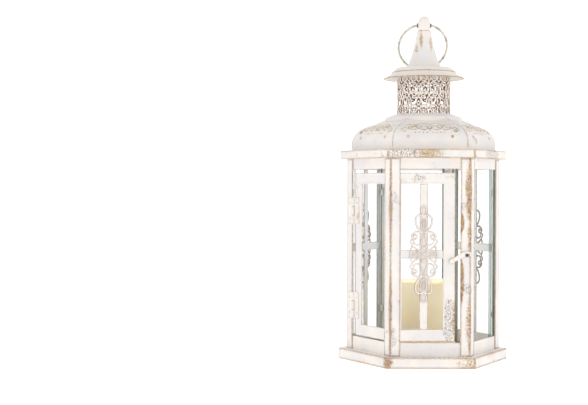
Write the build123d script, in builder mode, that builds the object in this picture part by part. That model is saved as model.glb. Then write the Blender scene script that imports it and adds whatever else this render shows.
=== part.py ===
from build123d import *
import math
import os

# Candle lantern: a six-sided glazed lantern of folded sheet metal with a hinged two-face door,
# a domed roof, a pierced chimney, a spun cap and a carrying ring.
# Millimetres, +Z up. The origin is on the resting surface, under the lantern's axis.
# The corners of the body lie on the X axis and every 60 degrees from it; the front faces -Y.

os.makedirs("parts", exist_ok=True)

# ---------------------------------------------------------------- driving dimensions

BODY_RADIUS = 89.0          # axis to the outer edge of a corner post
POST_HEIGHT = 220.4         # base ledge to soffit
BASE_HEIGHT = 12.4
BASE_OVERHANG = 9.0         # base corner beyond the post's corner
EAVE_HEIGHT = 9.9
EAVE_OVERHANG = 7.3         # eave corner beyond the post's corner

SHEET = 1.2                 # base, soffit and eave sheet
HEM_WIDTH = 6.0             # base hem, turned in under the skirt
POST_SHEET = 1.2
POST_FLANGE = 11.2
RAIL_SHEET = 1.5
BOTTOM_RAIL_HEIGHT = 15.0
TOP_RAIL_HEIGHT = 11.8
FLOOR_SHEET = 1.0
SOFFIT_OPENING = 64.0       # axis to the flat of the soffit's hexagonal hole

GLASS_THICKNESS = 2.0
GLASS_INSET = 5.0           # a fixed pane's side edge to the body's corner, along the face
GLASS_TOP_GAP = 0.6

BAR_WIDTH = 9.2             # glazing bars
BAR_HEIGHT_ON_FACE = 129.4  # middle of the fixed faces' cross bar
DOOR_BAR_HEIGHT = 126.0     # middle of the door's cross bar
DOOR_BAR_X = -7.3           # door's upright bar from the middle of the front face
ORNAMENT_HEIGHT = 107.0
ORNAMENT_WIDTH = 31.6
ORNAMENT_STROKE = 1.7
LOOP_SHARE = 0.13           # radii of the ornament's shapes as shares of its width
HEART_SHARE = 0.29
SCROLL_SHARE = 0.17
HEART_HEIGHT_SHARE = 0.27   # of the half height less the loop
SCROLL_DROP = 0.4           # scroll's middle below the heart, in scroll radii
PIERCING_SPREAD = (0.8, 0.7)  # across and along the middle diamond
ORNAMENT_THICKNESS = 1.2

CLIP_SHEET = 0.6
CLIP_HEIGHT = 7.0
CLIP_REACH = 4.0            # over the edge of the glass
CLIP_GAP = 0.2
CLIP_RISE = 39.6            # lower clips' middle above the ledge
CLIP_DROP = 38.8            # upper clips' middle below the soffit

RUNNING_GAP = 0.3           # between bodies that move past each other
DOOR_POST_SHEET = POST_SHEET - RUNNING_GAP
SASH_SHEET = 1.2
SASH_GAP_TOP = 4.4
SASH_GAP_BOTTOM = 1.8
SASH_GAP_SIDE = 5.8         # between a post's flange and the sash
SASH_TOP_RAIL = 12.7
SASH_BOTTOM_RAIL = 13.3
SASH_STILE = 13.0
SASH_CORNER_GAP = 0.1       # between the two sashes behind the corner post
SASH_GLASS_LAP = 2.0        # pane's edge inside the sash's outer edge

HINGE_HEIGHT = 30.5
HINGE_CENTRES = (63.5, 173.0)
HINGE_SHEET = 0.8
HINGE_LEAF_REACH = 10.5     # pin to the far edge of a leaf
HINGE_PIN_RADIUS = 0.9
HINGE_FIT = 0.05            # radial running clearance
KNUCKLE_WALL = 0.85
KNUCKLE_GAP = 0.4
HINGE_RIVET_SPACING = 18.0
RIVET_RADIUS = 0.8
RIVET_HEAD_RADIUS = 1.4
RIVET_HEAD_HEIGHT = 0.6
RIVET_HEAD_TAPER = 25.0     # degrees, a low rounded head

LATCH_PIVOT_HEIGHT = 118.5
LATCH_PIVOT_INSET = 4.0     # pivot to the door's free edge
STUD_HEIGHT = 125.0
STUD_INSET = 4.0            # stud to the body's corner, along the face
STUD_RADIUS = 1.5
STUD_PROUD = 0.8            # stud's end beyond the hook
STUD_SHANK_RADIUS = 1.0
LATCH_SHEET = 1.0
LATCH_ARM_WIDTH = 3.6
LATCH_ROOT_SHARE = 0.6      # half the arm's width at the eye, and its back's rise, as shares
LATCH_BACK_SHARE = 0.7
LATCH_EYE_RADIUS = 3.2
LATCH_PIN_RADIUS = 1.2
LATCH_BOSS_RADIUS = 2.2
LATCH_HEAD_RADIUS = 2.6
LATCH_HEAD_HEIGHT = 0.9
LATCH_FIT = 0.05
LATCH_SIDE_PLAY = 1.5       # lets the hook clear the stud as the door swings
LATCH_BEAK_WIDTH = 1.8
LATCH_BEAK_DEPTH = 1.5      # beak's tip below the stud's centre

ROOF_SHEET = 1.0
ROOF_INSET = 12.4           # roof's corner in from the eave's corner
ROOF_LEAN = 1.1             # how far the roof's side leans in below its shoulder
ROOF_SHOULDER_HEIGHT = 20.35
ROOF_SHOULDER_RADIUS = 20.0
ROOF_SLOPE = 26.0
LEDGE_LAP = 4.0             # eave ledge in under the roof's edge
COLLAR_RADIUS = 45.0
COLLAR_TOP = 43.0           # chimney's seat above the eave
COLLAR_SHOULDER = 38.6      # collar's side top above the eave
COLLAR_DEPTH = 2.0          # collar's side below the roof's surface
COLLAR_BEND = 3.5

CHIMNEY_RADIUS = 31.2
CHIMNEY_HEIGHT = 52.8
CHIMNEY_SHEET = 0.8
CHIMNEY_SEAT = 0.8          # collar's flat seat beyond the chimney on both sides
PIERCING_ROWS = 5
PIERCINGS_IN_ROW = 16
PIERCING_RADIUS = 3.4

BRIM_OVERHANG = 15.8        # rim beyond the chimney
BRIM_DROP = 12.5            # rim below the cap's flat top
BRIM_CURVE_REACH = 5.3      # where the brim turns up, beyond the chimney
BRIM_CURVE_RISE = 5.5
BRIM_SHEET = 1.0
BRIM_BENDS = (3.0, 1.2)     # radii where it turns up and where it turns flat
BRIM_SEAT = 1.8             # flat top beyond the chimney's outside
CONE_HEIGHT = 43.5
CONE_SHEET = 1.0
# The cone's outline as radius and height, from its foot up.
CONE_PROFILE = ((20.5, 0.0), (17.2, 6.0), (12.6, 19.0), (9.6, 32.0), (7.8, CONE_HEIGHT))
KNOB_HEIGHT = 17.0
KNOB_RADIUS = 7.4
KNOB_FOOT_RADIUS = 6.6
RING_PIVOT_HEIGHT = 6.0     # above the knob's foot

CAP_SCREW_RADIUS = 2.0
CAP_SCREW_DEPTH = 3.4       # into the knob
CAP_NUT_RADIUS = 4.2
CAP_NUT_HEIGHT = 3.2
CAP_WASHER_RADIUS = 6.0
CAP_WASHER_SHEET = 1.0
CAP_SCREW_END = 2.0         # below the nut

RING_RADIUS = 28.5          # to the middle of the wire
RING_WIRE_RADIUS = 1.5
RING_CHORD = 9.5            # half of the straight that runs through the knob
RING_FIT = 0.05
EYELET_WALL = 0.35
EYELET_FLANGE_RADIUS = 2.7
EYELET_FLANGE = 0.8
EYELET_DEPTH = 3.5

CANDLE_RADIUS = 37.5
CANDLE_HEIGHT = 81.0
CANDLE_EDGE = 2.5
CANDLE_DISH_RADIUS = 27.0
CANDLE_DISH_DEPTH = 1.6
WICK_RADIUS = 1.0
WICK_PROUD = 7.0
WICK_DEPTH = 8.0

# ---------------------------------------------------------------- levels and planes

COS30 = math.cos(math.radians(30))
TAN30 = math.tan(math.radians(30))

LEDGE_Z = BASE_HEIGHT
FLOOR_Z = LEDGE_Z - SHEET
SOFFIT_Z = LEDGE_Z + POST_HEIGHT
EAVE_Z = SOFFIT_Z + EAVE_HEIGHT
CHIMNEY_Z = EAVE_Z + COLLAR_TOP
CAP_Z = CHIMNEY_Z + CHIMNEY_HEIGHT + BRIM_SHEET
BRIM_RADIUS = CHIMNEY_RADIUS + BRIM_OVERHANG
BRIM_CURVE_RADIUS = CHIMNEY_RADIUS + BRIM_CURVE_REACH
KNOB_Z = CAP_Z + CONE_HEIGHT
TOP_Z = KNOB_Z + KNOB_HEIGHT

POST_OUTER = BODY_RADIUS * COS30
POST_INNER = POST_OUTER - POST_SHEET
RAIL_INNER = POST_INNER - RAIL_SHEET
FIXED_GLASS_INNER = RAIL_INNER - GLASS_THICKNESS
LEDGE_INNER = FIXED_GLASS_INNER - 1.0
SASH_OUTER = POST_OUTER - DOOR_POST_SHEET
SASH_INNER = SASH_OUTER - SASH_SHEET
DOOR_GLASS_INNER = SASH_INNER - GLASS_THICKNESS
BASE_OUTER = (BODY_RADIUS + BASE_OVERHANG) * COS30
EAVE_RADIUS = BODY_RADIUS + EAVE_OVERHANG
EAVE_OUTER = EAVE_RADIUS * COS30
ROOF_OUTER = (EAVE_RADIUS - ROOF_INSET) * COS30
HALF_FACE = BODY_RADIUS / 2

FACES = {
    "front": -90,
    "right_front": -30,
    "back_right": 30,
    "back": 90,
    "back_left": 150,
    "left_front": -150,
}
FIXED_POSTS = {"left": 180, "front_right": -60, "right": 0, "back_right": 60, "back_left": 120}
DOOR_CORNER = -120


def face_plane(face, distance):
    """A face's plane at a distance from the axis: x runs right as seen from outside, y is height."""
    angle = math.radians(FACES[face])
    outward = Vector(math.cos(angle), math.sin(angle), 0)
    sideways = Vector(-math.sin(angle), math.cos(angle), 0)
    return Plane(origin=outward * distance, x_dir=sideways, z_dir=outward)


def half_width(distance):
    """Half a face's width where the body's hexagon is this far from the axis."""
    return distance * TAN30


def hexagon(distance, mode=Mode.ADD):
    """A hexagon with corners on the X axis, its flats at a distance from the axis."""
    return RegularPolygon(radius=distance / COS30, side_count=6, mode=mode)


def save(piece, name):
    """Labels a finished piece and writes it."""
    piece.part.label = name
    export_step(piece.part, f"parts/{name}.step")


# ---------------------------------------------------------------- base

with BuildPart() as base_tray:
    with BuildSketch():
        hexagon(BASE_OUTER)
        hexagon(BASE_OUTER - HEM_WIDTH, mode=Mode.SUBTRACT)
    extrude(amount=SHEET)
    with BuildSketch(Plane.XY.offset(SHEET)):
        hexagon(BASE_OUTER)
        hexagon(BASE_OUTER - SHEET, mode=Mode.SUBTRACT)
    extrude(amount=BASE_HEIGHT - 2 * SHEET)
    with BuildSketch(Plane.XY.offset(FLOOR_Z)):
        hexagon(BASE_OUTER)
        hexagon(LEDGE_INNER, mode=Mode.SUBTRACT)
    extrude(amount=SHEET)
save(base_tray, "base_tray")

with BuildPart() as floor_plate:
    with BuildSketch(Plane.XY.offset(FLOOR_Z - FLOOR_SHEET)):
        hexagon(POST_OUTER)
    extrude(amount=FLOOR_SHEET)
save(floor_plate, "floor_plate")


def hexagonal_rail(name, bottom, height):
    """One of the two bands that tie the corner posts together."""
    with BuildPart() as rail:
        with BuildSketch(Plane.XY.offset(bottom)):
            hexagon(POST_INNER)
            hexagon(RAIL_INNER, mode=Mode.SUBTRACT)
        extrude(amount=height)
    save(rail, name)


hexagonal_rail("bottom_rail", LEDGE_Z, BOTTOM_RAIL_HEIGHT)
hexagonal_rail("top_rail", SOFFIT_Z - TOP_RAIL_HEIGHT, TOP_RAIL_HEIGHT)

# ---------------------------------------------------------------- hinge and latch places

KNUCKLE_RADIUS = HINGE_PIN_RADIUS + HINGE_FIT + KNUCKLE_WALL
PIN_DISTANCE = SASH_OUTER + KNUCKLE_RADIUS
PIN_X = -HALF_FACE + POST_FLANGE + SASH_GAP_SIDE / 2
KNUCKLE_LENGTH = (HINGE_HEIGHT - 2 * KNUCKLE_GAP) / 3
KNUCKLE_PITCH = KNUCKLE_LENGTH + KNUCKLE_GAP
LEAF_EDGE = KNUCKLE_RADIUS + KNUCKLE_GAP
LEAF_RIVET_X = (LEAF_EDGE + HINGE_LEAF_REACH) / 2 + 0.5

STILE_LEFT_X = -HALF_FACE + POST_FLANGE + SASH_GAP_SIDE
FREE_EDGE_X = HALF_FACE - POST_FLANGE - SASH_GAP_SIDE
LATCH_PIVOT_X = FREE_EDGE_X - LATCH_PIVOT_INSET
STUD_X = HALF_FACE - STUD_INSET
HOOK_INNER = POST_OUTER + RUNNING_GAP
HOOK_OUTER = HOOK_INNER + LATCH_SHEET


def hinge_rivet_points(side):
    """Rivet centres on the hinge face: side -1 is the post's leaf and +1 the door's."""
    x = PIN_X + side * LEAF_RIVET_X
    return [(x, z + end * HINGE_RIVET_SPACING / 2) for z in HINGE_CENTRES for end in (-1, 1)]


def face_circles(face, distance, points, radius):
    """Circles on a face's plane, for rivets and the holes they go through."""
    with BuildSketch(face_plane(face, distance)) as circles:
        with Locations(*points):
            Circle(radius)
    return circles.sketch


# ---------------------------------------------------------------- corner posts


def post_outline(corner, sheet):
    """Plan of a folded post: two flanges that meet at the body's corner."""
    turn = math.radians(corner)
    tip = Vector(math.cos(turn), math.sin(turn), 0) * BODY_RADIUS
    heel = Vector(math.cos(turn), math.sin(turn), 0) * (BODY_RADIUS - sheet / COS30)
    sides = []
    for way in (1, -1):
        along = math.radians(corner + way * 120)
        outward = math.radians(corner + way * 30)
        edge = tip + Vector(math.cos(along), math.sin(along), 0) * POST_FLANGE
        sides.append((edge, edge - Vector(math.cos(outward), math.sin(outward), 0) * sheet))
    return [tip, sides[0][0], sides[0][1], heel, sides[1][1], sides[1][0]]


for side, corner in FIXED_POSTS.items():
    with BuildPart() as post:
        with BuildSketch(Plane.XY.offset(LEDGE_Z)):
            with BuildLine():
                Polyline(*post_outline(corner, POST_SHEET), close=True)
            make_face()
        extrude(amount=POST_HEIGHT)
        if side == "left":
            holes = face_circles("left_front", POST_INNER, hinge_rivet_points(-1), RIVET_RADIUS)
            extrude(holes, amount=POST_SHEET, mode=Mode.SUBTRACT)
        if side == "front_right":
            holes = face_circles("front", POST_INNER, [(STUD_X, STUD_HEIGHT)], STUD_SHANK_RADIUS)
            extrude(holes, amount=POST_SHEET, mode=Mode.SUBTRACT)
    save(post, f"post_{side}")

with BuildPart() as door_corner_post:
    with BuildSketch(Plane.XY.offset(LEDGE_Z + RUNNING_GAP)):
        with BuildLine():
            Polyline(*post_outline(DOOR_CORNER, DOOR_POST_SHEET), close=True)
        make_face()
    extrude(amount=POST_HEIGHT - 2 * RUNNING_GAP)
save(door_corner_post, "door_corner_post")

# ---------------------------------------------------------------- fixed glass, bars and ornaments

FIXED_GLASS_HALF = HALF_FACE - GLASS_INSET
FIXED_GLASS_HEIGHT = POST_HEIGHT - GLASS_TOP_GAP

for face in ("right_front", "back_right", "back", "back_left"):
    with BuildPart() as pane:
        with BuildSketch(face_plane(face, FIXED_GLASS_INNER)):
            with Locations((0, LEDGE_Z)):
                Rectangle(2 * FIXED_GLASS_HALF, FIXED_GLASS_HEIGHT, align=(Align.CENTER, Align.MIN))
        extrude(amount=GLASS_THICKNESS)
    save(pane, f"glass_{face}")


def glazing_cross(name, face, distance, thickness, crossing, box):
    """An upright and a level glazing bar that cross on a face; box is left, right, bottom and top."""
    across, level = crossing
    left, right, bottom, top = box
    with BuildPart() as cross:
        with BuildSketch(face_plane(face, distance)):
            with Locations((across, (bottom + top) / 2)):
                Rectangle(BAR_WIDTH, top - bottom)
            with Locations(((left + right) / 2, level)):
                Rectangle(right - left, BAR_WIDTH)
        extrude(amount=thickness)
    save(cross, name)


def scroll_ornament(name, face, distance, crossing):
    """Flat pierced scrollwork on a glazing cross, the same above and below its middle."""
    flat = face_plane(face, distance)
    across, level = crossing
    centre = flat.origin + flat.x_dir * across + Vector(0, 0, level)
    half_height = ORNAMENT_HEIGHT / 2
    half_width_out = ORNAMENT_WIDTH / 2
    loop = ORNAMENT_WIDTH * LOOP_SHARE
    heart = ORNAMENT_WIDTH * HEART_SHARE
    heart_height = (half_height - 2 * loop) * HEART_HEIGHT_SHARE
    heart_middle = half_height - 2 * loop - heart_height + ORNAMENT_STROKE
    scroll = ORNAMENT_WIDTH * SCROLL_SHARE
    scroll_middle = heart_middle - heart_height - scroll * SCROLL_DROP
    diamond = heart_middle - heart_height + ORNAMENT_STROKE
    with BuildPart() as ornament:
        with BuildSketch(Plane(centre, flat.x_dir, flat.z_dir)):
            with Locations((0, half_height - loop), (0, loop - half_height)):
                Circle(loop)
            with Locations((0, heart_middle), (0, -heart_middle)):
                Ellipse(heart, heart_height)
            with GridLocations(2 * (half_width_out - scroll), 2 * scroll_middle, 2, 2):
                Circle(scroll)
            Ellipse(half_width_out, diamond)
            with Locations((0, half_height - loop), (0, loop - half_height)):
                Circle(loop - ORNAMENT_STROKE, mode=Mode.SUBTRACT)
            with Locations((0, heart_middle), (0, -heart_middle)):
                Ellipse(heart - ORNAMENT_STROKE, heart_height - ORNAMENT_STROKE, mode=Mode.SUBTRACT)
            with GridLocations(2 * (half_width_out - scroll), 2 * scroll_middle, 2, 2):
                Circle(scroll - ORNAMENT_STROKE, mode=Mode.SUBTRACT)
            with GridLocations(half_width_out * PIERCING_SPREAD[0], diamond * PIERCING_SPREAD[1], 2, 2):
                Circle(scroll - ORNAMENT_STROKE, mode=Mode.SUBTRACT)
        extrude(amount=ORNAMENT_THICKNESS)
    save(ornament, name)


for face in ("back_left", "back_right"):
    reach = FIXED_GLASS_HALF
    box = (-reach, reach, LEDGE_Z + BOTTOM_RAIL_HEIGHT, SOFFIT_Z - TOP_RAIL_HEIGHT)
    glazing_cross(f"cross_{face}", face, RAIL_INNER, RAIL_SHEET, (0, BAR_HEIGHT_ON_FACE), box)
    scroll_ornament(f"ornament_{face}", face, POST_INNER, (0, BAR_HEIGHT_ON_FACE))


def clip_outline(edge, way, foot, glass_inner):
    """Plan of a folded tab on a pane's edge: way is +1 where the tab stands right of the pane."""
    inner = glass_inner - CLIP_SHEET
    near = edge + way * CLIP_GAP
    far = near + way * CLIP_SHEET
    tip = edge - way * CLIP_REACH
    outside = [(near, foot), (far, foot), (far, inner)]
    return outside + [(tip, inner), (tip, glass_inner), (near, glass_inner)]


def glass_clips(name, tabs):
    """A group of like tabs, by face, pane's edge, side, foot and the back of the glass."""
    with BuildPart() as clips:
        for face, edge, way, foot, glass_inner in tabs:
            upright = face_plane(face, 0)
            for level in (LEDGE_Z + CLIP_RISE, SOFFIT_Z - CLIP_DROP):
                plan = Plane(origin=(0, 0, level), x_dir=upright.x_dir, z_dir=(0, 0, -1))
                with BuildSketch(plan):
                    with BuildLine():
                        Polyline(*clip_outline(edge, way, foot, glass_inner), close=True)
                    make_face()
                extrude(amount=CLIP_HEIGHT / 2, both=True)
    save(clips, name)


glass_clips(
    "glass_clips",
    [
        (face, way * FIXED_GLASS_HALF, way, POST_INNER, FIXED_GLASS_INNER)
        for face in ("right_front", "back_right", "back", "back_left")
        for way in (-1, 1)
    ],
)

# ---------------------------------------------------------------- door

SASH_BOTTOM = LEDGE_Z + BOTTOM_RAIL_HEIGHT + SASH_GAP_BOTTOM
SASH_TOP = SOFFIT_Z - TOP_RAIL_HEIGHT - SASH_GAP_TOP
SASH_CORNER_X = half_width(SASH_INNER) - SASH_CORNER_GAP
DOOR_GLASS_CORNER_X = HALF_FACE - GLASS_INSET


def door_sash(name, face, stile_edge, way, holes, hole_radius):
    """A three-sided frame: two rails that run in behind the corner post, and a stile."""
    with BuildPart() as sash:
        with BuildSketch(face_plane(face, SASH_INNER)):
            with Locations(((stile_edge + way * SASH_CORNER_X) / 2, (SASH_BOTTOM + SASH_TOP) / 2)):
                Rectangle(abs(way * SASH_CORNER_X - stile_edge), SASH_TOP - SASH_BOTTOM)
            opening_edge = stile_edge + way * SASH_STILE
            opening_end = way * (SASH_CORNER_X + SHEET)
            bottom = SASH_BOTTOM + SASH_BOTTOM_RAIL
            top = SASH_TOP - SASH_TOP_RAIL
            with Locations(((opening_edge + opening_end) / 2, (bottom + top) / 2)):
                Rectangle(abs(opening_end - opening_edge), top - bottom, mode=Mode.SUBTRACT)
            with Locations(*holes):
                Circle(hole_radius, mode=Mode.SUBTRACT)
        extrude(amount=SASH_SHEET)
    save(sash, name)


def door_pane(name, face, stile_edge, way):
    """A door pane, lapped behind the sash."""
    near = stile_edge + way * SASH_GLASS_LAP
    far = way * DOOR_GLASS_CORNER_X
    height = SASH_TOP - SASH_BOTTOM - 2 * SASH_GLASS_LAP
    with BuildPart() as pane:
        with BuildSketch(face_plane(face, DOOR_GLASS_INNER)):
            with Locations(((near + far) / 2, (SASH_BOTTOM + SASH_TOP) / 2)):
                Rectangle(abs(far - near), height)
        extrude(amount=GLASS_THICKNESS)
    save(pane, name)


door_sash("door_left_sash", "left_front", STILE_LEFT_X, 1, hinge_rivet_points(1), RIVET_RADIUS)
latch_point = (LATCH_PIVOT_X, LATCH_PIVOT_HEIGHT)
door_sash("door_front_sash", "front", FREE_EDGE_X, -1, [latch_point], LATCH_PIN_RADIUS)
door_pane("door_left_glass", "left_front", STILE_LEFT_X, 1)
door_pane("door_front_glass", "front", FREE_EDGE_X, -1)

sash_opening = (
    -SASH_CORNER_X,
    FREE_EDGE_X - SASH_STILE,
    SASH_BOTTOM + SASH_BOTTOM_RAIL,
    SASH_TOP - SASH_TOP_RAIL,
)
door_crossing = (DOOR_BAR_X, DOOR_BAR_HEIGHT)
glazing_cross("door_cross", "front", SASH_INNER, SASH_SHEET, door_crossing, sash_opening)
scroll_ornament("door_ornament", "front", SASH_OUTER, door_crossing)

glass_clips(
    "door_glass_clips",
    [
        ("left_front", STILE_LEFT_X + SASH_GLASS_LAP, -1, SASH_INNER, DOOR_GLASS_INNER),
        ("left_front", DOOR_GLASS_CORNER_X, 1, SASH_INNER, DOOR_GLASS_INNER),
        ("front", -DOOR_GLASS_CORNER_X, -1, SASH_INNER, DOOR_GLASS_INNER),
        ("front", FREE_EDGE_X - SASH_GLASS_LAP, 1, SASH_INNER, DOOR_GLASS_INNER),
    ],
)

# ---------------------------------------------------------------- hinges

HINGE_AXIS = face_plane("left_front", PIN_DISTANCE)
HINGE_POINT = HINGE_AXIS.origin + HINGE_AXIS.x_dir * PIN_X


def hinge_leaves(name, side, inner, slots):
    """Both hinges' leaves on one side of the pin, each with its knuckles at the given thirds."""
    with BuildPart() as leaves:
        for centre in HINGE_CENTRES:
            with BuildSketch(face_plane("left_front", inner)):
                with Locations((PIN_X + side * (LEAF_EDGE + HINGE_LEAF_REACH) / 2, centre)):
                    Rectangle(HINGE_LEAF_REACH - LEAF_EDGE, HINGE_HEIGHT)
                for slot in slots:
                    with Locations((PIN_X + side * (LEAF_EDGE + 1) / 2, centre + slot * KNUCKLE_PITCH)):
                        Rectangle(LEAF_EDGE + 1, KNUCKLE_LENGTH)
            extrude(amount=HINGE_SHEET)
            for slot in slots:
                level = centre + slot * KNUCKLE_PITCH - KNUCKLE_LENGTH / 2
                with BuildSketch(Plane(origin=(HINGE_POINT.X, HINGE_POINT.Y, level))):
                    Circle(KNUCKLE_RADIUS)
                extrude(amount=KNUCKLE_LENGTH)
            with BuildSketch(Plane(origin=(HINGE_POINT.X, HINGE_POINT.Y, centre - HINGE_HEIGHT / 2))):
                Circle(HINGE_PIN_RADIUS + HINGE_FIT)
            extrude(amount=HINGE_HEIGHT, mode=Mode.SUBTRACT)
        holes = face_circles("left_front", inner, hinge_rivet_points(side), RIVET_RADIUS)
        extrude(holes, amount=HINGE_SHEET, mode=Mode.SUBTRACT)
    save(leaves, name)


hinge_leaves("hinge_post_leaves", -1, POST_OUTER, (-1, 1))
hinge_leaves("hinge_door_leaves", 1, SASH_OUTER, (0,))

with BuildPart() as hinge_pins:
    for centre in HINGE_CENTRES:
        with BuildSketch(Plane(origin=(HINGE_POINT.X, HINGE_POINT.Y, centre - HINGE_HEIGHT / 2))):
            Circle(HINGE_PIN_RADIUS)
        extrude(amount=HINGE_HEIGHT)
        for level, way in ((centre + HINGE_HEIGHT / 2, 1), (centre - HINGE_HEIGHT / 2, -1)):
            with BuildSketch(Plane(origin=(HINGE_POINT.X, HINGE_POINT.Y, level))):
                Circle(KNUCKLE_RADIUS - KNUCKLE_GAP / 2)
            extrude(amount=way * RIVET_HEAD_HEIGHT)
save(hinge_pins, "hinge_pins")


def hinge_rivets(name, side, sheet_inner, leaf_outer):
    """Round-headed rivets through a leaf and the sheet under it."""
    with BuildPart() as rivets:
        with BuildSketch(face_plane("left_front", sheet_inner)):
            with Locations(*hinge_rivet_points(side)):
                Circle(RIVET_RADIUS)
        extrude(amount=leaf_outer - sheet_inner)
        with BuildSketch(face_plane("left_front", leaf_outer)):
            with Locations(*hinge_rivet_points(side)):
                Circle(RIVET_HEAD_RADIUS)
        extrude(amount=RIVET_HEAD_HEIGHT, taper=RIVET_HEAD_TAPER)
    save(rivets, name)


hinge_rivets("hinge_post_rivets", -1, POST_INNER, POST_OUTER + HINGE_SHEET)
hinge_rivets("hinge_door_rivets", 1, SASH_INNER, SASH_OUTER + HINGE_SHEET)

# ---------------------------------------------------------------- latch

LATCH_HEAD_DISTANCE = HOOK_OUTER + RUNNING_GAP

with BuildPart() as latch_rivet:
    for radius, start, end in (
        (LATCH_PIN_RADIUS, SASH_INNER, LATCH_HEAD_DISTANCE),
        (LATCH_BOSS_RADIUS, SASH_OUTER, HOOK_INNER - RUNNING_GAP),
        (LATCH_HEAD_RADIUS, LATCH_HEAD_DISTANCE, LATCH_HEAD_DISTANCE + LATCH_HEAD_HEIGHT),
    ):
        with BuildSketch(face_plane("front", start)):
            with Locations((LATCH_PIVOT_X, LATCH_PIVOT_HEIGHT)):
                Circle(radius)
        extrude(amount=end - start)
save(latch_rivet, "latch_rivet")

with BuildPart() as latch_stud:
    with BuildSketch(face_plane("front", POST_INNER)):
        with Locations((STUD_X, STUD_HEIGHT)):
            Circle(STUD_SHANK_RADIUS)
    extrude(amount=POST_SHEET)
    with BuildSketch(face_plane("front", POST_OUTER)):
        with Locations((STUD_X, STUD_HEIGHT)):
            Circle(STUD_RADIUS)
    extrude(amount=HOOK_OUTER + STUD_PROUD - POST_OUTER)
save(latch_stud, "latch_stud")

NOTCH_LEFT_X = STUD_X - STUD_RADIUS - RUNNING_GAP
NOTCH_RIGHT_X = STUD_X + STUD_RADIUS + LATCH_SIDE_PLAY
NOTCH_TOP_Z = STUD_HEIGHT + STUD_RADIUS + RUNNING_GAP
BEAK_RIGHT_X = NOTCH_RIGHT_X + LATCH_BEAK_WIDTH
HOOK_TOP_Z = NOTCH_TOP_Z + LATCH_ARM_WIDTH * LATCH_BACK_SHARE

with BuildPart() as latch_hook:
    with BuildSketch(face_plane("front", HOOK_INNER)):
        with Locations((LATCH_PIVOT_X, LATCH_PIVOT_HEIGHT)):
            Circle(LATCH_EYE_RADIUS)
        with BuildLine():
            Polyline(
                (LATCH_PIVOT_X, LATCH_PIVOT_HEIGHT + LATCH_ARM_WIDTH * LATCH_ROOT_SHARE),
                (LATCH_PIVOT_X, LATCH_PIVOT_HEIGHT - LATCH_ARM_WIDTH * LATCH_ROOT_SHARE),
                (NOTCH_LEFT_X, STUD_HEIGHT - LATCH_BEAK_DEPTH),
                (NOTCH_LEFT_X, NOTCH_TOP_Z),
                (NOTCH_RIGHT_X, NOTCH_TOP_Z),
                (NOTCH_RIGHT_X, STUD_HEIGHT - LATCH_BEAK_DEPTH),
                (BEAK_RIGHT_X, STUD_HEIGHT - LATCH_BEAK_DEPTH),
                (BEAK_RIGHT_X, HOOK_TOP_Z - LATCH_BEAK_WIDTH),
                (BEAK_RIGHT_X - LATCH_BEAK_WIDTH, HOOK_TOP_Z),
                (NOTCH_LEFT_X - LATCH_BEAK_WIDTH, HOOK_TOP_Z),
                close=True,
            )
        make_face()
        with Locations((LATCH_PIVOT_X, LATCH_PIVOT_HEIGHT)):
            Circle(LATCH_PIN_RADIUS + LATCH_FIT, mode=Mode.SUBTRACT)
    extrude(amount=LATCH_SHEET)
save(latch_hook, "latch_hook")

# ---------------------------------------------------------------- eave and roof

with BuildPart() as soffit_plate:
    with BuildSketch(Plane.XY.offset(SOFFIT_Z)):
        hexagon(EAVE_OUTER - SHEET)
        hexagon(SOFFIT_OPENING, mode=Mode.SUBTRACT)
    extrude(amount=SHEET)
save(soffit_plate, "soffit_plate")

with BuildPart() as eave_band:
    with BuildSketch(Plane.XY.offset(SOFFIT_Z)):
        hexagon(EAVE_OUTER)
        hexagon(EAVE_OUTER - SHEET, mode=Mode.SUBTRACT)
    extrude(amount=EAVE_HEIGHT)
    with BuildSketch(Plane.XY.offset(EAVE_Z - SHEET)):
        hexagon(EAVE_OUTER)
        hexagon(ROOF_OUTER - LEDGE_LAP, mode=Mode.SUBTRACT)
    extrude(amount=SHEET)
save(eave_band, "eave_band")

ROOF_SIDE = ROOF_OUTER - ROOF_LEAN
ROOF_RUN = math.tan(math.radians(ROOF_SLOPE))


def roof_height(distance):
    """Height above the eave of the roof's upper slope, where the hexagon is this far from the axis."""
    return ROOF_SHOULDER_HEIGHT + (ROOF_SIDE - distance) * ROOF_RUN


for face in FACES:
    outward = face_plane(face, 0).z_dir
    upright = Plane(origin=(0, 0, EAVE_Z), x_dir=outward, z_dir=outward.cross(Vector(0, 0, 1)))
    with BuildPart() as roof_panel:
        with BuildSketch(upright):
            with BuildLine():
                FilletPolyline(
                    (ROOF_OUTER, 0),
                    (ROOF_SIDE, ROOF_SHOULDER_HEIGHT),
                    (CHIMNEY_RADIUS, roof_height(CHIMNEY_RADIUS)),
                    radius=ROOF_SHOULDER_RADIUS,
                )
                offset(amount=ROOF_SHEET, side=Side.LEFT)
            make_face()
        extrude(amount=BODY_RADIUS, both=True)
        with BuildSketch(Plane(origin=(0, 0, EAVE_Z), x_dir=outward, z_dir=(0, 0, 1))):
            with BuildLine():
                Polyline(
                    (0, 0),
                    (2 * BODY_RADIUS, 2 * BODY_RADIUS * TAN30),
                    (2 * BODY_RADIUS, -2 * BODY_RADIUS * TAN30),
                    close=True,
                )
            make_face()
            Circle(COLLAR_RADIUS, mode=Mode.SUBTRACT)
        extrude(amount=TOP_Z, mode=Mode.INTERSECT)
    save(roof_panel, f"roof_panel_{face}")

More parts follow.
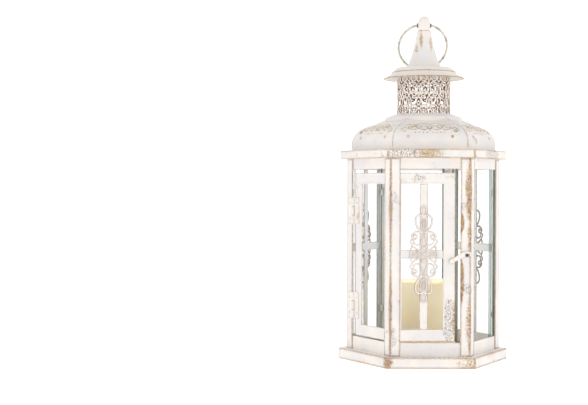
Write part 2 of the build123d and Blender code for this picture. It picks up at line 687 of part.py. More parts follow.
with BuildPart() as roof_collar:
    with BuildSketch(Plane.XZ):
        with BuildLine():
            FilletPolyline(
                (COLLAR_RADIUS, EAVE_Z + roof_height(COLLAR_RADIUS) - COLLAR_DEPTH),
                (COLLAR_RADIUS, EAVE_Z + COLLAR_SHOULDER),
                (CHIMNEY_RADIUS + CHIMNEY_SEAT, CHIMNEY_Z),
                (CHIMNEY_RADIUS - CHIMNEY_SHEET - CHIMNEY_SEAT, CHIMNEY_Z),
                radius=(COLLAR_BEND, 2 * ROOF_SHEET),
            )
            offset(amount=ROOF_SHEET, side=Side.LEFT)
        make_face()
    revolve(axis=Axis.Z)
save(roof_collar, "roof_collar")

# ---------------------------------------------------------------- chimney and cap

with BuildPart() as chimney_filigree:
    with BuildSketch(Plane.XY.offset(CHIMNEY_Z)):
        Circle(CHIMNEY_RADIUS)
        Circle(CHIMNEY_RADIUS - CHIMNEY_SHEET, mode=Mode.SUBTRACT)
    extrude(amount=CHIMNEY_HEIGHT)
    row_pitch = CHIMNEY_HEIGHT / PIERCING_ROWS
    for row in range(PIERCING_ROWS):
        turn = 180 / PIERCINGS_IN_ROW * (row % 2)
        with Locations((0, 0, CHIMNEY_Z + (row + 0.5) * row_pitch)):
            with PolarLocations(0, PIERCINGS_IN_ROW, start_angle=turn):
                Cylinder(
                    PIERCING_RADIUS,
                    CHIMNEY_RADIUS + CHIMNEY_SHEET,
                    rotation=(0, 90, 0),
                    align=(Align.CENTER, Align.CENTER, Align.MIN),
                    mode=Mode.SUBTRACT,
                )
save(chimney_filigree, "chimney_filigree")

BRIM_TOP_RADIUS = CHIMNEY_RADIUS + BRIM_SEAT

with BuildPart() as cap_brim:
    with BuildSketch(Plane.XZ):
        with BuildLine():
            FilletPolyline(
                (BRIM_RADIUS, CAP_Z - BRIM_DROP),
                (BRIM_CURVE_RADIUS, CAP_Z - BRIM_DROP + BRIM_CURVE_RISE),
                (BRIM_TOP_RADIUS, CAP_Z),
                (CAP_SCREW_RADIUS, CAP_Z),
                radius=BRIM_BENDS,
            )
            offset(amount=BRIM_SHEET, side=Side.LEFT)
        make_face()
    revolve(axis=Axis.Z)
save(cap_brim, "cap_brim")

with BuildPart() as cap_cone:
    for inset, top_gap, mode in ((0, 0, Mode.ADD), (CONE_SHEET, CONE_SHEET, Mode.SUBTRACT)):
        foot_radius = CONE_PROFILE[0][0] - inset
        curve = [(radius - inset, CAP_Z + height) for radius, height in CONE_PROFILE[1:-1]]
        curve.append((CONE_PROFILE[-1][0] - inset, CAP_Z + CONE_HEIGHT - top_gap))
        with BuildSketch(Plane.XZ):
            with BuildLine():
                wall = Spline(*curve)
                Polyline(
                    wall @ 0,
                    (foot_radius, CAP_Z + CONE_SHEET),
                    (foot_radius, CAP_Z),
                    (0, CAP_Z),
                    (0, CAP_Z + CONE_HEIGHT - top_gap),
                    wall @ 1,
                )
            make_face()
        revolve(axis=Axis.Z, mode=mode)
    with BuildSketch(Plane.XY.offset(KNOB_Z)):
        Circle(CAP_SCREW_RADIUS)
    extrude(amount=-2 * CONE_SHEET, mode=Mode.SUBTRACT)
save(cap_cone, "cap_cone")

RING_PIVOT_Z = KNOB_Z + RING_PIVOT_HEIGHT
EYELET_RADIUS = RING_WIRE_RADIUS + RING_FIT + EYELET_WALL

with BuildPart() as knob:
    with BuildSketch(Plane.XZ):
        with BuildLine():
            shoulder = (KNOB_FOOT_RADIUS, 2 * RING_PIVOT_Z - KNOB_Z)
            ThreePointArc((KNOB_FOOT_RADIUS, KNOB_Z), (KNOB_RADIUS, RING_PIVOT_Z), shoulder)
            crown = math.hypot(KNOB_FOOT_RADIUS, TOP_Z - shoulder[1]) ** 2 / (2 * (TOP_Z - shoulder[1]))
            half_way = (crown * math.sin(math.pi / 4), TOP_Z - crown * (1 - math.cos(math.pi / 4)))
            ThreePointArc(shoulder, half_way, (0, TOP_Z))
            Polyline((0, TOP_Z), (0, KNOB_Z), (KNOB_FOOT_RADIUS, KNOB_Z))
        make_face()
    revolve(axis=Axis.Z)
    with BuildSketch(Plane.XY.offset(KNOB_Z)):
        Circle(CAP_SCREW_RADIUS)
    extrude(amount=CAP_SCREW_DEPTH, mode=Mode.SUBTRACT)
    with BuildSketch(Plane(origin=(0, 0, RING_PIVOT_Z), z_dir=(1, 0, 0))):
        Circle(EYELET_RADIUS)
    extrude(amount=2 * KNOB_RADIUS, both=True, mode=Mode.SUBTRACT)
save(knob, "knob")

with BuildPart() as ring_eyelets:
    for way in (-1, 1):
        inner_end = (way * (KNOB_RADIUS - EYELET_DEPTH), 0, RING_PIVOT_Z)
        with BuildSketch(Plane(origin=inner_end, z_dir=(way, 0, 0))):
            Circle(EYELET_RADIUS)
        extrude(amount=EYELET_DEPTH)
        with BuildSketch(Plane(origin=(way * KNOB_RADIUS, 0, RING_PIVOT_Z), z_dir=(way, 0, 0))):
            Circle(EYELET_FLANGE_RADIUS)
        extrude(amount=EYELET_FLANGE)
    with BuildSketch(Plane(origin=(0, 0, RING_PIVOT_Z), z_dir=(1, 0, 0))):
        Circle(RING_WIRE_RADIUS + RING_FIT)
    extrude(amount=2 * KNOB_RADIUS, both=True, mode=Mode.SUBTRACT)
save(ring_eyelets, "ring_eyelets")

CAP_UNDERSIDE = CAP_Z - BRIM_SHEET
NUT_TOP = CAP_UNDERSIDE - CAP_WASHER_SHEET

with BuildPart() as cap_screw:
    with BuildSketch(Plane.XY.offset(NUT_TOP - CAP_NUT_HEIGHT - CAP_SCREW_END)):
        Circle(CAP_SCREW_RADIUS)
    extrude(amount=KNOB_Z + CAP_SCREW_DEPTH - NUT_TOP + CAP_NUT_HEIGHT + CAP_SCREW_END)
save(cap_screw, "cap_screw")

with BuildPart() as cap_washer:
    with BuildSketch(Plane.XY.offset(NUT_TOP)):
        Circle(CAP_WASHER_RADIUS)
        Circle(CAP_SCREW_RADIUS, mode=Mode.SUBTRACT)
    extrude(amount=CAP_WASHER_SHEET)
save(cap_washer, "cap_washer")

with BuildPart() as cap_nut:
    with BuildSketch(Plane.XY.offset(NUT_TOP - CAP_NUT_HEIGHT)):
        RegularPolygon(radius=CAP_NUT_RADIUS, side_count=6)
        Circle(CAP_SCREW_RADIUS, mode=Mode.SUBTRACT)
    extrude(amount=CAP_NUT_HEIGHT)
save(cap_nut, "cap_nut")

# ---------------------------------------------------------------- carrying ring

RING_DROP = math.sqrt(RING_RADIUS**2 - RING_CHORD**2)
REST_LEVEL = CAP_Z + RUNNING_GAP + RING_WIRE_RADIUS
RING_TILT = math.degrees(math.acos((RING_PIVOT_Z - REST_LEVEL) / (RING_DROP + RING_RADIUS)))
CHORD_ANGLE = math.degrees(math.asin(RING_CHORD / RING_RADIUS))

# The ring hangs behind the cap with its lowest point on the brim. Its plane's y points up the ring.
ring_up = Vector(0, -math.sin(math.radians(RING_TILT)), math.cos(math.radians(RING_TILT)))
ring_plane = Plane(origin=(0, 0, RING_PIVOT_Z), x_dir=(1, 0, 0), z_dir=Vector(1, 0, 0).cross(ring_up))

with BuildPart() as ring_handle:
    with BuildLine(ring_plane) as ring_path:
        CenterArc((0, -RING_DROP), RING_RADIUS, 90 + CHORD_ANGLE, 360 - 2 * CHORD_ANGLE)
    with BuildSketch(Plane(origin=ring_path.line @ 0, z_dir=ring_path.line % 0)):
        Circle(RING_WIRE_RADIUS)
    sweep()
    with BuildSketch(Plane(origin=(0, 0, RING_PIVOT_Z), z_dir=(1, 0, 0))):
        Circle(RING_WIRE_RADIUS)
    extrude(amount=RING_CHORD, both=True)
    with Locations((-RING_CHORD, 0, RING_PIVOT_Z), (RING_CHORD, 0, RING_PIVOT_Z)):
        Sphere(RING_WIRE_RADIUS)
save(ring_handle, "ring_handle")

# ---------------------------------------------------------------- candle

with BuildPart() as candle:
    with BuildSketch(Plane.XY.offset(LEDGE_Z - SHEET)):
        Circle(CANDLE_RADIUS)
    extrude(amount=CANDLE_HEIGHT)
    fillet(candle.faces().sort_by(Axis.Z)[-1].edges(), radius=CANDLE_EDGE)
    with BuildSketch(Plane.XY.offset(FLOOR_Z + CANDLE_HEIGHT)):
        Circle(CANDLE_DISH_RADIUS)
    extrude(amount=-CANDLE_DISH_DEPTH, taper=45, mode=Mode.SUBTRACT)
    with BuildSketch(Plane.XY.offset(FLOOR_Z + CANDLE_HEIGHT - CANDLE_DISH_DEPTH)):
        Circle(WICK_RADIUS)
    extrude(amount=-WICK_DEPTH, mode=Mode.SUBTRACT)
save(candle, "candle")

with BuildPart() as wick:
    with BuildSketch(Plane.XY.offset(FLOOR_Z + CANDLE_HEIGHT - CANDLE_DISH_DEPTH - WICK_DEPTH)):
        Circle(WICK_RADIUS)
    extrude(amount=WICK_DEPTH + WICK_PROUD)
save(wick, "wick")

print(f"height {TOP_Z:.1f}, across corners {2 * (BODY_RADIUS + BASE_OVERHANG):.1f}")
print(f"door hinge at x {HINGE_POINT.X:.3f}, y {HINGE_POINT.Y:.3f}")
print(f"latch pivot at x {LATCH_PIVOT_X:.3f}, z {LATCH_PIVOT_HEIGHT:.1f}; stud at x {STUD_X:.1f}")
print(f"ring pivot at z {RING_PIVOT_Z:.1f}, ring leans back {RING_TILT:.1f} degrees")
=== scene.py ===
# %% [markdown]
# # A cream-painted candle lantern
# The real thing is folded sheet steel: a six-sided glazed box with a bent door, a stamped roof, a pierced
# chimney and a hanging ring, painted antique white and then rubbed back until the edges show gold and
# brown. The mechanical model comes in as a fixed frame, so every post, pane, hinge and rivet is already
# the right size and in its place. This script adds what a caster, a press, a spinner and a painter would.

# %% Load the frame
import math

import bpy
import numpy as np
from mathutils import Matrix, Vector
from mathutils.bvhtree import BVHTree


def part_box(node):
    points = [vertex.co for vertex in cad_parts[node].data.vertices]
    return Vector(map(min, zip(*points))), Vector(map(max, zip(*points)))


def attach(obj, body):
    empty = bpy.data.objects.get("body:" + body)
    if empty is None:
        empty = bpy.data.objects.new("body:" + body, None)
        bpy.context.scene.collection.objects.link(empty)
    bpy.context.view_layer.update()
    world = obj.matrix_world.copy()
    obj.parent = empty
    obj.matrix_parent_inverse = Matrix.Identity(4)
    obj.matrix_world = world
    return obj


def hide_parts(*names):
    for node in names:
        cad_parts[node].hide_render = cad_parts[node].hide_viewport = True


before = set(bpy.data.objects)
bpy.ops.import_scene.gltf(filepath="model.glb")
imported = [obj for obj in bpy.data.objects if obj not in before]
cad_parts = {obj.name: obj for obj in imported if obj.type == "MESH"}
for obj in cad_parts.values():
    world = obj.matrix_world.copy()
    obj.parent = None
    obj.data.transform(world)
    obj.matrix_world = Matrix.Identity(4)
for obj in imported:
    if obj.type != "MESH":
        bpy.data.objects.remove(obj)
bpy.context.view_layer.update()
MM = 0.001

# %% [markdown]
# ## The camera
# The view is that of a catalogue row: one camera at about half the lantern's height, a metre and a half
# away, looking level and straight ahead. The tallest lantern stands to the right of the middle, so it is
# seen turned a little. Moving the camera sideways gives the same view as turning the lantern, and leaves
# the frame alone.

# %% Camera
CAMERA_PLACE = Vector((-151.3, -1437.2, 199.7)) * MM
CAMERA_LENS = 75.23
CAMERA_PITCH, CAMERA_ROLL = -0.70, 0.165

camera = bpy.data.objects.new("camera", bpy.data.cameras.new("camera"))
bpy.context.scene.collection.objects.link(camera)
camera.data.lens = CAMERA_LENS
camera.location = CAMERA_PLACE
camera.rotation_euler = (math.radians(90 + CAMERA_PITCH), math.radians(-CAMERA_ROLL), 0)
bpy.context.scene.camera = camera
print("camera", tuple(round(x, 3) for x in camera.location))

# %% [markdown]
# ## Faces of the hexagon
# Everything on the lantern belongs to one of six faces. A face is known by the angle its normal points
# to, seen from above. Two helpers turn face coordinates, across and up, into places in the row frame.

# %% Faces
FACES = {"front": -90, "right_front": -30, "back_right": 30, "back": 90, "back_left": 150, "left_front": -150}


def outward(angle):
    """The level direction at an angle round the axis, in degrees."""
    return Vector((math.cos(math.radians(angle)), math.sin(math.radians(angle)), 0))


def rightward(angle):
    """Left to right along a face, as seen from outside."""
    return Vector((-math.sin(math.radians(angle)), math.cos(math.radians(angle)), 0))


def face_distance(node, angle):
    """How far a frame node reaches from the axis along a face's normal, in metres."""
    return max(v.co.dot(outward(angle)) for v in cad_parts[node].data.vertices)


print("door plane at", round(face_distance("door_front_sash", FACES["front"]), 5))

# %% [markdown]
# ## Writing shader maths as Python
# A node tree is a formula drawn as boxes. One small class wraps a socket and overloads the operators, so
# a mask can be written as `1 - edge * 3`. Everything that isn't plain arithmetic comes from one method,
# `node`, which sets the node's own settings first and its sockets after.

# %% Sockets that do arithmetic
class Value:
    """A node's output. Arithmetic on it adds Math nodes."""

    def __init__(self, shader, socket):
        self.shader, self.socket = shader, socket

    def maths(self, operation, first, second):
        return self.shader.node("Math", {"operation": operation}, {0: first, 1: second})

    def __add__(self, other):
        return self.maths("ADD", self, other)

    def __mul__(self, other):
        return self.maths("MULTIPLY", self, other)

    def __sub__(self, other):
        return self.maths("SUBTRACT", self, other)

    def __rsub__(self, other):
        return self.maths("SUBTRACT", other, self)

    __radd__ = __add__
    __rmul__ = __mul__


# %% A material and its nodes
class Shader:
    """A material and the means to add nodes to it."""

    def __init__(self, name):
        self.material = bpy.data.materials.new(name)
        self.material.use_nodes = True
        self.tree = self.material.node_tree
        self.tree.nodes.clear()

    def node(self, kind, settings=None, inputs=None, output=0):
        """Adds a node: its settings first, then its sockets' values or links. Returns one output."""
        made = self.tree.nodes.new("ShaderNode" + kind)
        for key, value in (settings or {}).items():
            setattr(made, key, value)
        for key, value in (inputs or {}).items():
            if isinstance(value, Value):
                self.tree.links.new(value.socket, made.inputs[key])
            else:
                made.inputs[key].default_value = value
        return Value(self, made.outputs[output])

    def ramp(self, value, low, high):
        """0 below low, 1 above high, and a smooth step between."""
        settings = {"interpolation_type": "SMOOTHSTEP"}
        return self.node("MapRange", settings, {"Value": value, "From Min": low, "From Max": high})

    def larger(self, first, second):
        return self.node("Math", {"operation": "MAXIMUM"}, {0: first, 1: second})

    def clamp(self, value):
        return self.node("Clamp", {}, {"Value": value})

    def noise(self, place, scale, detail=3.0, rough=0.55):
        inputs = {"Vector": place, "Scale": scale, "Detail": detail, "Roughness": rough}
        return self.node("TexNoise", {}, inputs)

    def moved(self, place, scale=(1, 1, 1), shift=(0, 0, 0)):
        return self.node("Mapping", {}, {"Vector": place, "Scale": scale, "Location": shift})

    def dot(self, first, second):
        return self.node("VectorMath", {"operation": "DOT_PRODUCT"}, {0: first, 1: second}, output="Value")

    def mix(self, factor, first, second):
        """Blends two colours."""
        return self.node("Mix", {"data_type": "RGBA"}, {0: factor, 6: first, 7: second}, output=2)

    def surface(self, closure):
        out = self.tree.nodes.new("ShaderNodeOutputMaterial")
        self.tree.links.new(closure.socket, out.inputs["Surface"])
        return self.material


def srgb(code):
    """A colour written as on a paint chart, in the linear values that shaders use."""
    parts = [int(code[i : i + 2], 16) / 255 for i in (1, 3, 5)]
    return (*[c / 12.92 if c <= 0.04045 else ((c + 0.055) / 1.055) ** 2.4 for c in parts], 1.0)


print("shader helpers ready")

# %% [markdown]
# ## Distressed paint
# The finish is made in this order on the real lantern: a brown-gold base, cream paint over it, then
# sandpaper. The sandpaper takes the paint off wherever a hand would touch: the folded edges. The Bevel
# node bends the normal near an edge, so the difference between the bent and the true normal says how near
# the edge is. Noise breaks that line up, so that it reads as rubbing and not as an outline. Some places
# are worn more than others, so a finish can also name spots: soft ellipsoids in the row frame, each with
# its own wear and crackle. The inside corners, which the Ambient Occlusion node finds, get painted brown
# shade.

# %% Paint colours
CREAM, COOL_CREAM, WARM_CREAM = srgb("#f3ede6"), srgb("#e9e5e4"), srgb("#f2e6dc")
RUBBED_BROWN, RUBBED_GOLD = srgb("#8a5a38"), srgb("#a98a42")
HALO, GREY_SPECK, CRACK_BROWN, CORNER_SHADE_BROWN = srgb("#dcc0a2"), srgb("#8d8078"), srgb("#6e5a4c"), srgb("#8f7864")
CASTING_BROWN, RELIEF_BROWN, RELIEF_GOLD = srgb("#9c7a4c"), srgb("#8c7761"), srgb("#a08446")
RUB_LINE = "rub_line"      # how worn each vertex of a drawn piece is


# %% Where paint is worn
def worn_spots(s, place, spots):
    """Sum of soft ellipsoids: each spot is a middle and three radii in mm, and an amount."""
    total = None
    for middle, radii, amount in spots:
        inverse = tuple(1 / (r * MM) for r in radii)
        shift = tuple(-c / r for c, r in zip(middle, radii))
        away = s.moved(place, inverse, shift)
        reach = s.node("VectorMath", {"operation": "LENGTH"}, {0: away}, output="Value")
        spot = (1 - s.ramp(reach, 0.35, 1.0)) * amount
        total = spot if total is None else s.larger(total, spot)
    return total


# %% Distressed paint
BROAD, PATCHY, FINE, GRAIN = 24.0, 110.0, 480.0, 1700.0      # noise scales, per metre
FOLD_GAIN = 2.9             # how sharply the bent normal becomes nearness to an edge
CRACK_CELLS = 420.0         # crackle cells, per metre
CORNER_REACH = 2.2 * MM     # how deep a corner has to be to get painted shade
PAINT_DEPTH = 0.22 * MM


def distressed_paint(name, rub=1.0, edge_mm=2.4, crackle=0.3, gold=0.3, shift=0.0,
                     spots=(), crackle_spots=(), corner_shading=0.55, line=None):
    """Cream paint rubbed through at its edges, with painted shade in its inside corners. rub, crackle, gold
    and the corner shade are amounts.
    """
    s = Shader(name)
    here = s.node("TexCoord", output="Object")
    place = s.moved(here, shift=(shift, shift * 0.7, shift * 0.3))
    true_normal = s.node("NewGeometry", output="Normal")
    bent = s.node("Bevel", {"samples": 6}, {"Radius": edge_mm * MM})
    bend = s.node("Math", {"operation": "SQRT"}, {0: 1 - s.dot(bent, true_normal)})
    nearness = s.clamp(bend * FOLD_GAIN)
    broad, patchy = s.noise(place, BROAD, 2.0), s.noise(place, PATCHY, 4.0, 0.65)
    fine, grain = s.noise(place, FINE, 4.0, 0.7), s.noise(place, GRAIN, 2.0)
    wander = (broad - 0.5) * 0.8 + (patchy - 0.5) * 1.3 + (fine - 0.5) * 1.9 + (grain - 0.5) * 1.0
    wear = nearness * rub + wander * 0.6
    if spots:
        wear = wear + worn_spots(s, here, spots)
    if line is not None:
        wear = wear + s.node("Attribute", {"attribute_name": line}, output="Fac") * rub
    paint_left = s.ramp(s.noise(place, 640.0, 3.0, 0.6), 0.50, 0.58)
    rubbed = s.ramp(wear, 0.50, 0.72) * (1 - paint_left * 0.7)
    halo = s.ramp(wear, 0.2, 0.64)

    crackle_net = {"Vector": place, "Scale": CRACK_CELLS}
    cells = s.node("TexVoronoi", {"feature": "DISTANCE_TO_EDGE"}, crackle_net)
    area = s.ramp(s.noise(place, 42.0, 2.0), 0.72 - 0.25 * crackle, 0.78 - 0.15 * crackle)
    if crackle_spots:
        area = s.larger(area, s.ramp(worn_spots(s, here, crackle_spots) + wander * 0.5, 0.35, 0.6))
    cracks = (1 - s.ramp(cells, 0.03, 0.13)) * area
    hair = s.ramp(s.noise(s.moved(place, (22, 22, 330)), 4.0, 4.0, 0.7), 0.60, 0.70)
    hair = hair * s.ramp(patchy, 0.48, 0.60)
    specks = s.ramp(s.noise(place, 1000.0, 2.0, 0.5), 0.64, 0.72) * s.ramp(patchy, 0.46, 0.62)
    # Painted shade: the inside corners that ambient occlusion finds are darkened brown, except right under
    # the glass.
    corner_occlusion = 1 - s.node("AmbientOcclusion", {"samples": 8}, {"Distance": CORNER_REACH}, output="AO")
    under_glass = s.ramp(corner_occlusion, 0.88, 0.95)
    painted_corner_shade = s.ramp(corner_occlusion + (patchy - 0.5) * 0.5, 0.42, 0.85) * (1 - under_glass) * corner_shading

    tone = s.mix(s.ramp(broad, 0.35, 0.65), CREAM, COOL_CREAM)
    tone = s.mix(s.ramp(s.noise(place, 60.0, 3.0), 0.5, 0.75) * 0.7, tone, WARM_CREAM)
    tone = s.mix(hair * 0.35 + specks * 0.5, tone, GREY_SPECK)
    tone = s.mix(cracks * 0.7, tone, CRACK_BROWN)
    # Painted shade: the inside corners turn brown here.
    tone = s.mix(painted_corner_shade, tone, CORNER_SHADE_BROWN)
    tone = s.mix(halo * 0.55, tone, HALO)
    metal = s.mix(s.ramp(patchy, 0.62 - 0.3 * gold, 0.72 - 0.3 * gold), RUBBED_BROWN, RUBBED_GOLD)
    colour = s.mix(rubbed * 0.88, tone, metal)
    height = (1 - rubbed) * 0.6 + fine * 0.25 + grain * 0.08 - cracks * 0.45 - hair * 0.15
    bump = s.node("Bump", {}, {"Strength": 0.4, "Distance": PAINT_DEPTH, "Height": height})
    rough = 0.44 + fine * 0.2 + rubbed * 0.04
    paint = {"Base Color": colour, "Roughness": rough, "Metallic": rubbed * 0.3, "Normal": bump}
    return s.surface(s.node("BsdfPrincipled", {}, paint))


# %% Handing finishes to frame pieces
def finish_nodes(material, *nodes):
    """Gives frame pieces a finish, by their material slots."""
    for node in nodes:
        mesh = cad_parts[node].data
        mesh.materials.clear()
        mesh.materials.append(material)
    print(material.name, "on", ", ".join(nodes))


# %% [markdown]
# ## Which piece is worn where
# Hands lift the lantern by its front posts and open the door at the right, so the front right post is
# worn to brown along its ridge, the door's stile is crackled low down, and the front of the eave has lost
# its paint in the middle. The rims of the base knock against shelves, so both its top edge and its
# corners are rubbed.

# %% Finishes of the sheet-metal pieces
post_paint = distressed_paint("post_paint", rub=1.0, shift=0.0, edge_mm=3.0)
post_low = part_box("post_front_right")[0]
ridge_x, ridge_y = 44.5, post_low.y / MM      # the fold at the front of a front post, mm
worn_post = distressed_paint(
    "worn_post_paint", rub=1.0, shift=0.31, edge_mm=3.4, crackle=0.5,
    spots=[((ridge_x - 1, ridge_y, 196), (8, 8, 56), 0.66), ((ridge_x - 0.5, ridge_y, 148), (6, 8, 36), 0.55),
           ((ridge_x - 1, ridge_y, 46), (7, 8, 46), 0.55), ((33.0, ridge_y, 161), (6, 5, 16), 1.4),
           ((33.0, ridge_y, 95), (6, 5, 36), 1.3)],
)
corner_post = distressed_paint(
    "door_corner_paint", rub=1.0, shift=0.13, edge_mm=3.0,
    spots=[((-ridge_x, ridge_y, 180), (4.5, 8, 80), 0.5), ((-ridge_x, ridge_y, 60), (4.5, 8, 70), 0.55)],
)
left_sash = distressed_paint("left_sash_paint", rub=0.75, shift=0.17, edge_mm=2.0)
front_sash = distressed_paint(
    "front_sash_paint", rub=0.8, shift=0.23, edge_mm=2.1,
    crackle_spots=[((21, ridge_y, 52), (10, 8, 34), 1.3)],
    spots=[((27, ridge_y, 52), (5, 8, 30), 0.55)],
)
rail_paint = distressed_paint("rail_paint", rub=0.4, shift=0.41, edge_mm=1.2, corner_shading=0.7)
base_paint = distressed_paint(
    "base_paint", rub=1.1, shift=0.53, gold=0.35, edge_mm=3.2,
    spots=[((-48, -84, 7), (10, 10, 10), 0.75), ((40, -84.8, 6), (22, 8, 10), 0.5),
           ((-70, -40, 3), (30, 30, 5), 0.3), ((70, -42, 9), (26, 26, 6), 0.35)],
)
eave_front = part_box("eave_band")[0].y / MM
eave_paint = distressed_paint(
    "eave_paint", rub=0.95, shift=0.67, gold=0.8, edge_mm=2.8, crackle=0.5,
    spots=[((-4, eave_front, 239), (22, 5, 9), 0.55), ((2, eave_front, 232), (34, 5, 5), 0.5),
           ((-52, eave_front, 237), (5, 8, 14), 0.6), ((49, eave_front, 237), (5, 8, 14), 0.5)],
    crackle_spots=[((-20, eave_front, 237), (46, 6, 14), 1.4), ((80, -42, 238), (32, 32, 12), 1.0)],
)
finish_nodes(post_paint, "post_left", "post_right", "post_back_left", "post_back_right")
finish_nodes(worn_post, "post_front_right")
finish_nodes(corner_post, "door_corner_post")
finish_nodes(left_sash, "door_left_sash", "door_cross", "cross_back_left", "cross_back_right")
finish_nodes(front_sash, "door_front_sash")
finish_nodes(rail_paint, "bottom_rail", "top_rail", "soffit_plate", "floor_plate")
finish_nodes(base_paint, "base_tray")
finish_nodes(eave_paint, "eave_band")
hinge_paint = distressed_paint("hinge_paint", rub=0.75, shift=0.61, edge_mm=0.8, corner_shading=0.9)
finish_nodes(hinge_paint, "hinge_post_leaves", "hinge_door_leaves", "hinge_pins", "hinge_post_rivets")
finish_nodes(hinge_paint, "hinge_door_rivets", "latch_hook", "latch_rivet")

# %% Finishes of the roof
roof_paint = distressed_paint("roof_paint", rub=0.5, shift=0.71, gold=0.5, edge_mm=1.2, crackle=0.2)
finish_nodes(roof_paint, *[f"roof_panel_{face}" for face in FACES], "roof_collar")
cap_paint = distressed_paint(
    "cap_paint", rub=1.0, shift=0.83, gold=0.9, edge_mm=1.5, crackle=0.1, line=RUB_LINE,
    spots=[((-4, -8, 370), (3.5, 8, 18), 0.6), ((7, -8, 366), (3, 8, 16), 0.55),
           ((-9, -6, 360), (3, 8, 12), 0.5)],
)
knob_paint = distressed_paint("knob_paint", rub=0.6, shift=0.47, gold=0.3, edge_mm=1.5, crackle=0.1)
finish_nodes(knob_paint, "knob")

# %% [markdown]
# ## Glass, wax and bare metal
# The panes are 2 mm float glass. Looked at square on, such a pane is almost nothing: no colour, and a
# reflection that grows at a glancing angle. Along its two upright edges the light has run the width of
# the pane, and there it is a deep bottle green. The material works that out from the place across the
# pane, so one rule serves all.

# %% Window glass
GLASS_CLEAR, GLASS_GREEN = srgb("#fcfdfe"), srgb("#46634f")
EDGE_BAND = 1.3 * MM


def pane_glass(name, node, angle, green_places):
    """Clear glass for the pane on one face, dark green at the given places across it, in metres."""
    s = Shader(name)
    place, facing = s.node("TexCoord", output="Object"), s.node("TexCoord", output="Normal")
    across = s.dot(place, tuple(rightward(angle)))
    squarely = s.node("Math", {"operation": "ABSOLUTE"}, {0: s.dot(facing, tuple(outward(angle)))})
    cut = 1 - s.ramp(squarely, 0.3, 0.7)
    for middle in green_places:
        off = s.node("Math", {"operation": "ABSOLUTE"}, {0: across - middle})
        cut = s.larger(cut, 1 - s.ramp(off, EDGE_BAND * 0.5, EDGE_BAND))
    smear = s.noise(s.moved(place, (1, 1, 0.25)), 45.0, 3.0)
    clear = s.node("BsdfTransparent", {}, {"Color": GLASS_CLEAR})
    gloss = s.node("BsdfPrincipled", {}, {"Base Color": srgb("#e8efee"), "Roughness": 0.02 + smear * 0.05})
    sheen = s.node("Fresnel", {}, {"IOR": 1.45})
    outer_side = 1 - s.node("NewGeometry", output="Backfacing")
    face = s.node("MixShader", {}, {0: (sheen * 0.8 + smear * 0.04) * outer_side, 1: clear, 2: gloss})
    green = {"Base Color": s.mix(s.ramp(smear, 0.4, 0.6), GLASS_GREEN, srgb("#6f8472")), "Roughness": 0.15}
    green = s.node("BsdfPrincipled", {}, green)
    finish_nodes(s.surface(s.node("MixShader", {}, {0: cut * 0.85, 1: face, 2: green})), node)


post_edge = post_low.x
shown = post_edge - EDGE_BAND
for face in ("right_front", "back_right", "back", "back_left"):
    pane_glass(f"glass_{face}_finish", f"glass_{face}", FACES[face], (-shown, shown))
pane_glass("glass_door_left_finish", "door_left_glass", FACES["left_front"], (shown, -post_edge))
pane_glass("glass_door_front_finish", "door_front_glass", FACES["front"], (-post_edge,))

# %% Wax and wick
def candle_wax():
    """Ivory wax: light runs a little way into it, its colour is mottled, and a faint painted glow of its own
    colour brightens the unlit candle.
    """
    s = Shader("ivory_wax")
    place = s.node("TexCoord", output="Object")
    mottle, bloom = s.noise(place, 35.0, 3.0), s.noise(place, 300.0, 3.0)
    streaks = s.noise(s.moved(place, (1, 1, 0.08)), 190.0, 3.0)
    colour = s.mix(s.ramp(mottle, 0.35, 0.7), srgb("#ffecc8"), srgb("#ffe5b9"))
    colour = s.mix(s.ramp(streaks, 0.5, 0.8) * 0.45, colour, srgb("#fff0d6"))
    bump = s.node("Bump", {}, {"Strength": 0.2, "Distance": 0.3 * MM, "Height": mottle + bloom * 0.3})
    # The emission here is a painted glow: it lightens the unlit candle in the lantern's shade.
    wax = {"Base Color": colour, "Roughness": 0.4 + bloom * 0.18, "Normal": bump, "Subsurface Weight": 0.4,
           "Subsurface Radius": (0.9, 0.6, 0.3), "Subsurface Scale": 0.006,
           "Emission Color": colour, "Emission Strength": 0.14}
    return s.surface(s.node("BsdfPrincipled", {}, wax))


def braided_cotton():
    """A waxed wick: a pale braid."""
    s = Shader("wick_cotton")
    place = s.node("TexCoord", output="Object")
    twist = {"Vector": place, "Scale": 500.0, "Distortion": 1.0}
    braid = s.node("TexWave", {"bands_direction": "DIAGONAL"}, twist)
    colour = s.mix(braid, srgb("#cfc6b0"), srgb("#efeadb"))
    bump = s.node("Bump", {}, {"Strength": 0.6, "Distance": 0.2 * MM, "Height": braid})
    return s.surface(s.node("BsdfPrincipled", {}, {"Base Color": colour, "Roughness": 0.8, "Normal": bump}))


wax, cotton = candle_wax(), braided_cotton()
print(wax.name, cotton.name)

# %% Bare metal
def bare_metal(name, colour, dark, rough, metallic):
    """Plain fixings and wire: dull metal with a little tarnish."""
    s = Shader(name)
    place = s.node("TexCoord", output="Object")
    tarnish = s.ramp(s.noise(place, 160.0, 4.0, 0.7), 0.42, 0.68)
    fine = s.noise(place, 900.0, 3.0)
    bump = s.node("Bump", {}, {"Strength": 0.25, "Distance": 0.1 * MM, "Height": tarnish + fine * 0.4})
    metal = {"Base Color": s.mix(tarnish, colour, dark), "Roughness": rough + fine * 0.2, "Normal": bump,
             "Metallic": metallic - tarnish * 0.2}
    return s.surface(s.node("BsdfPrincipled", {}, metal))


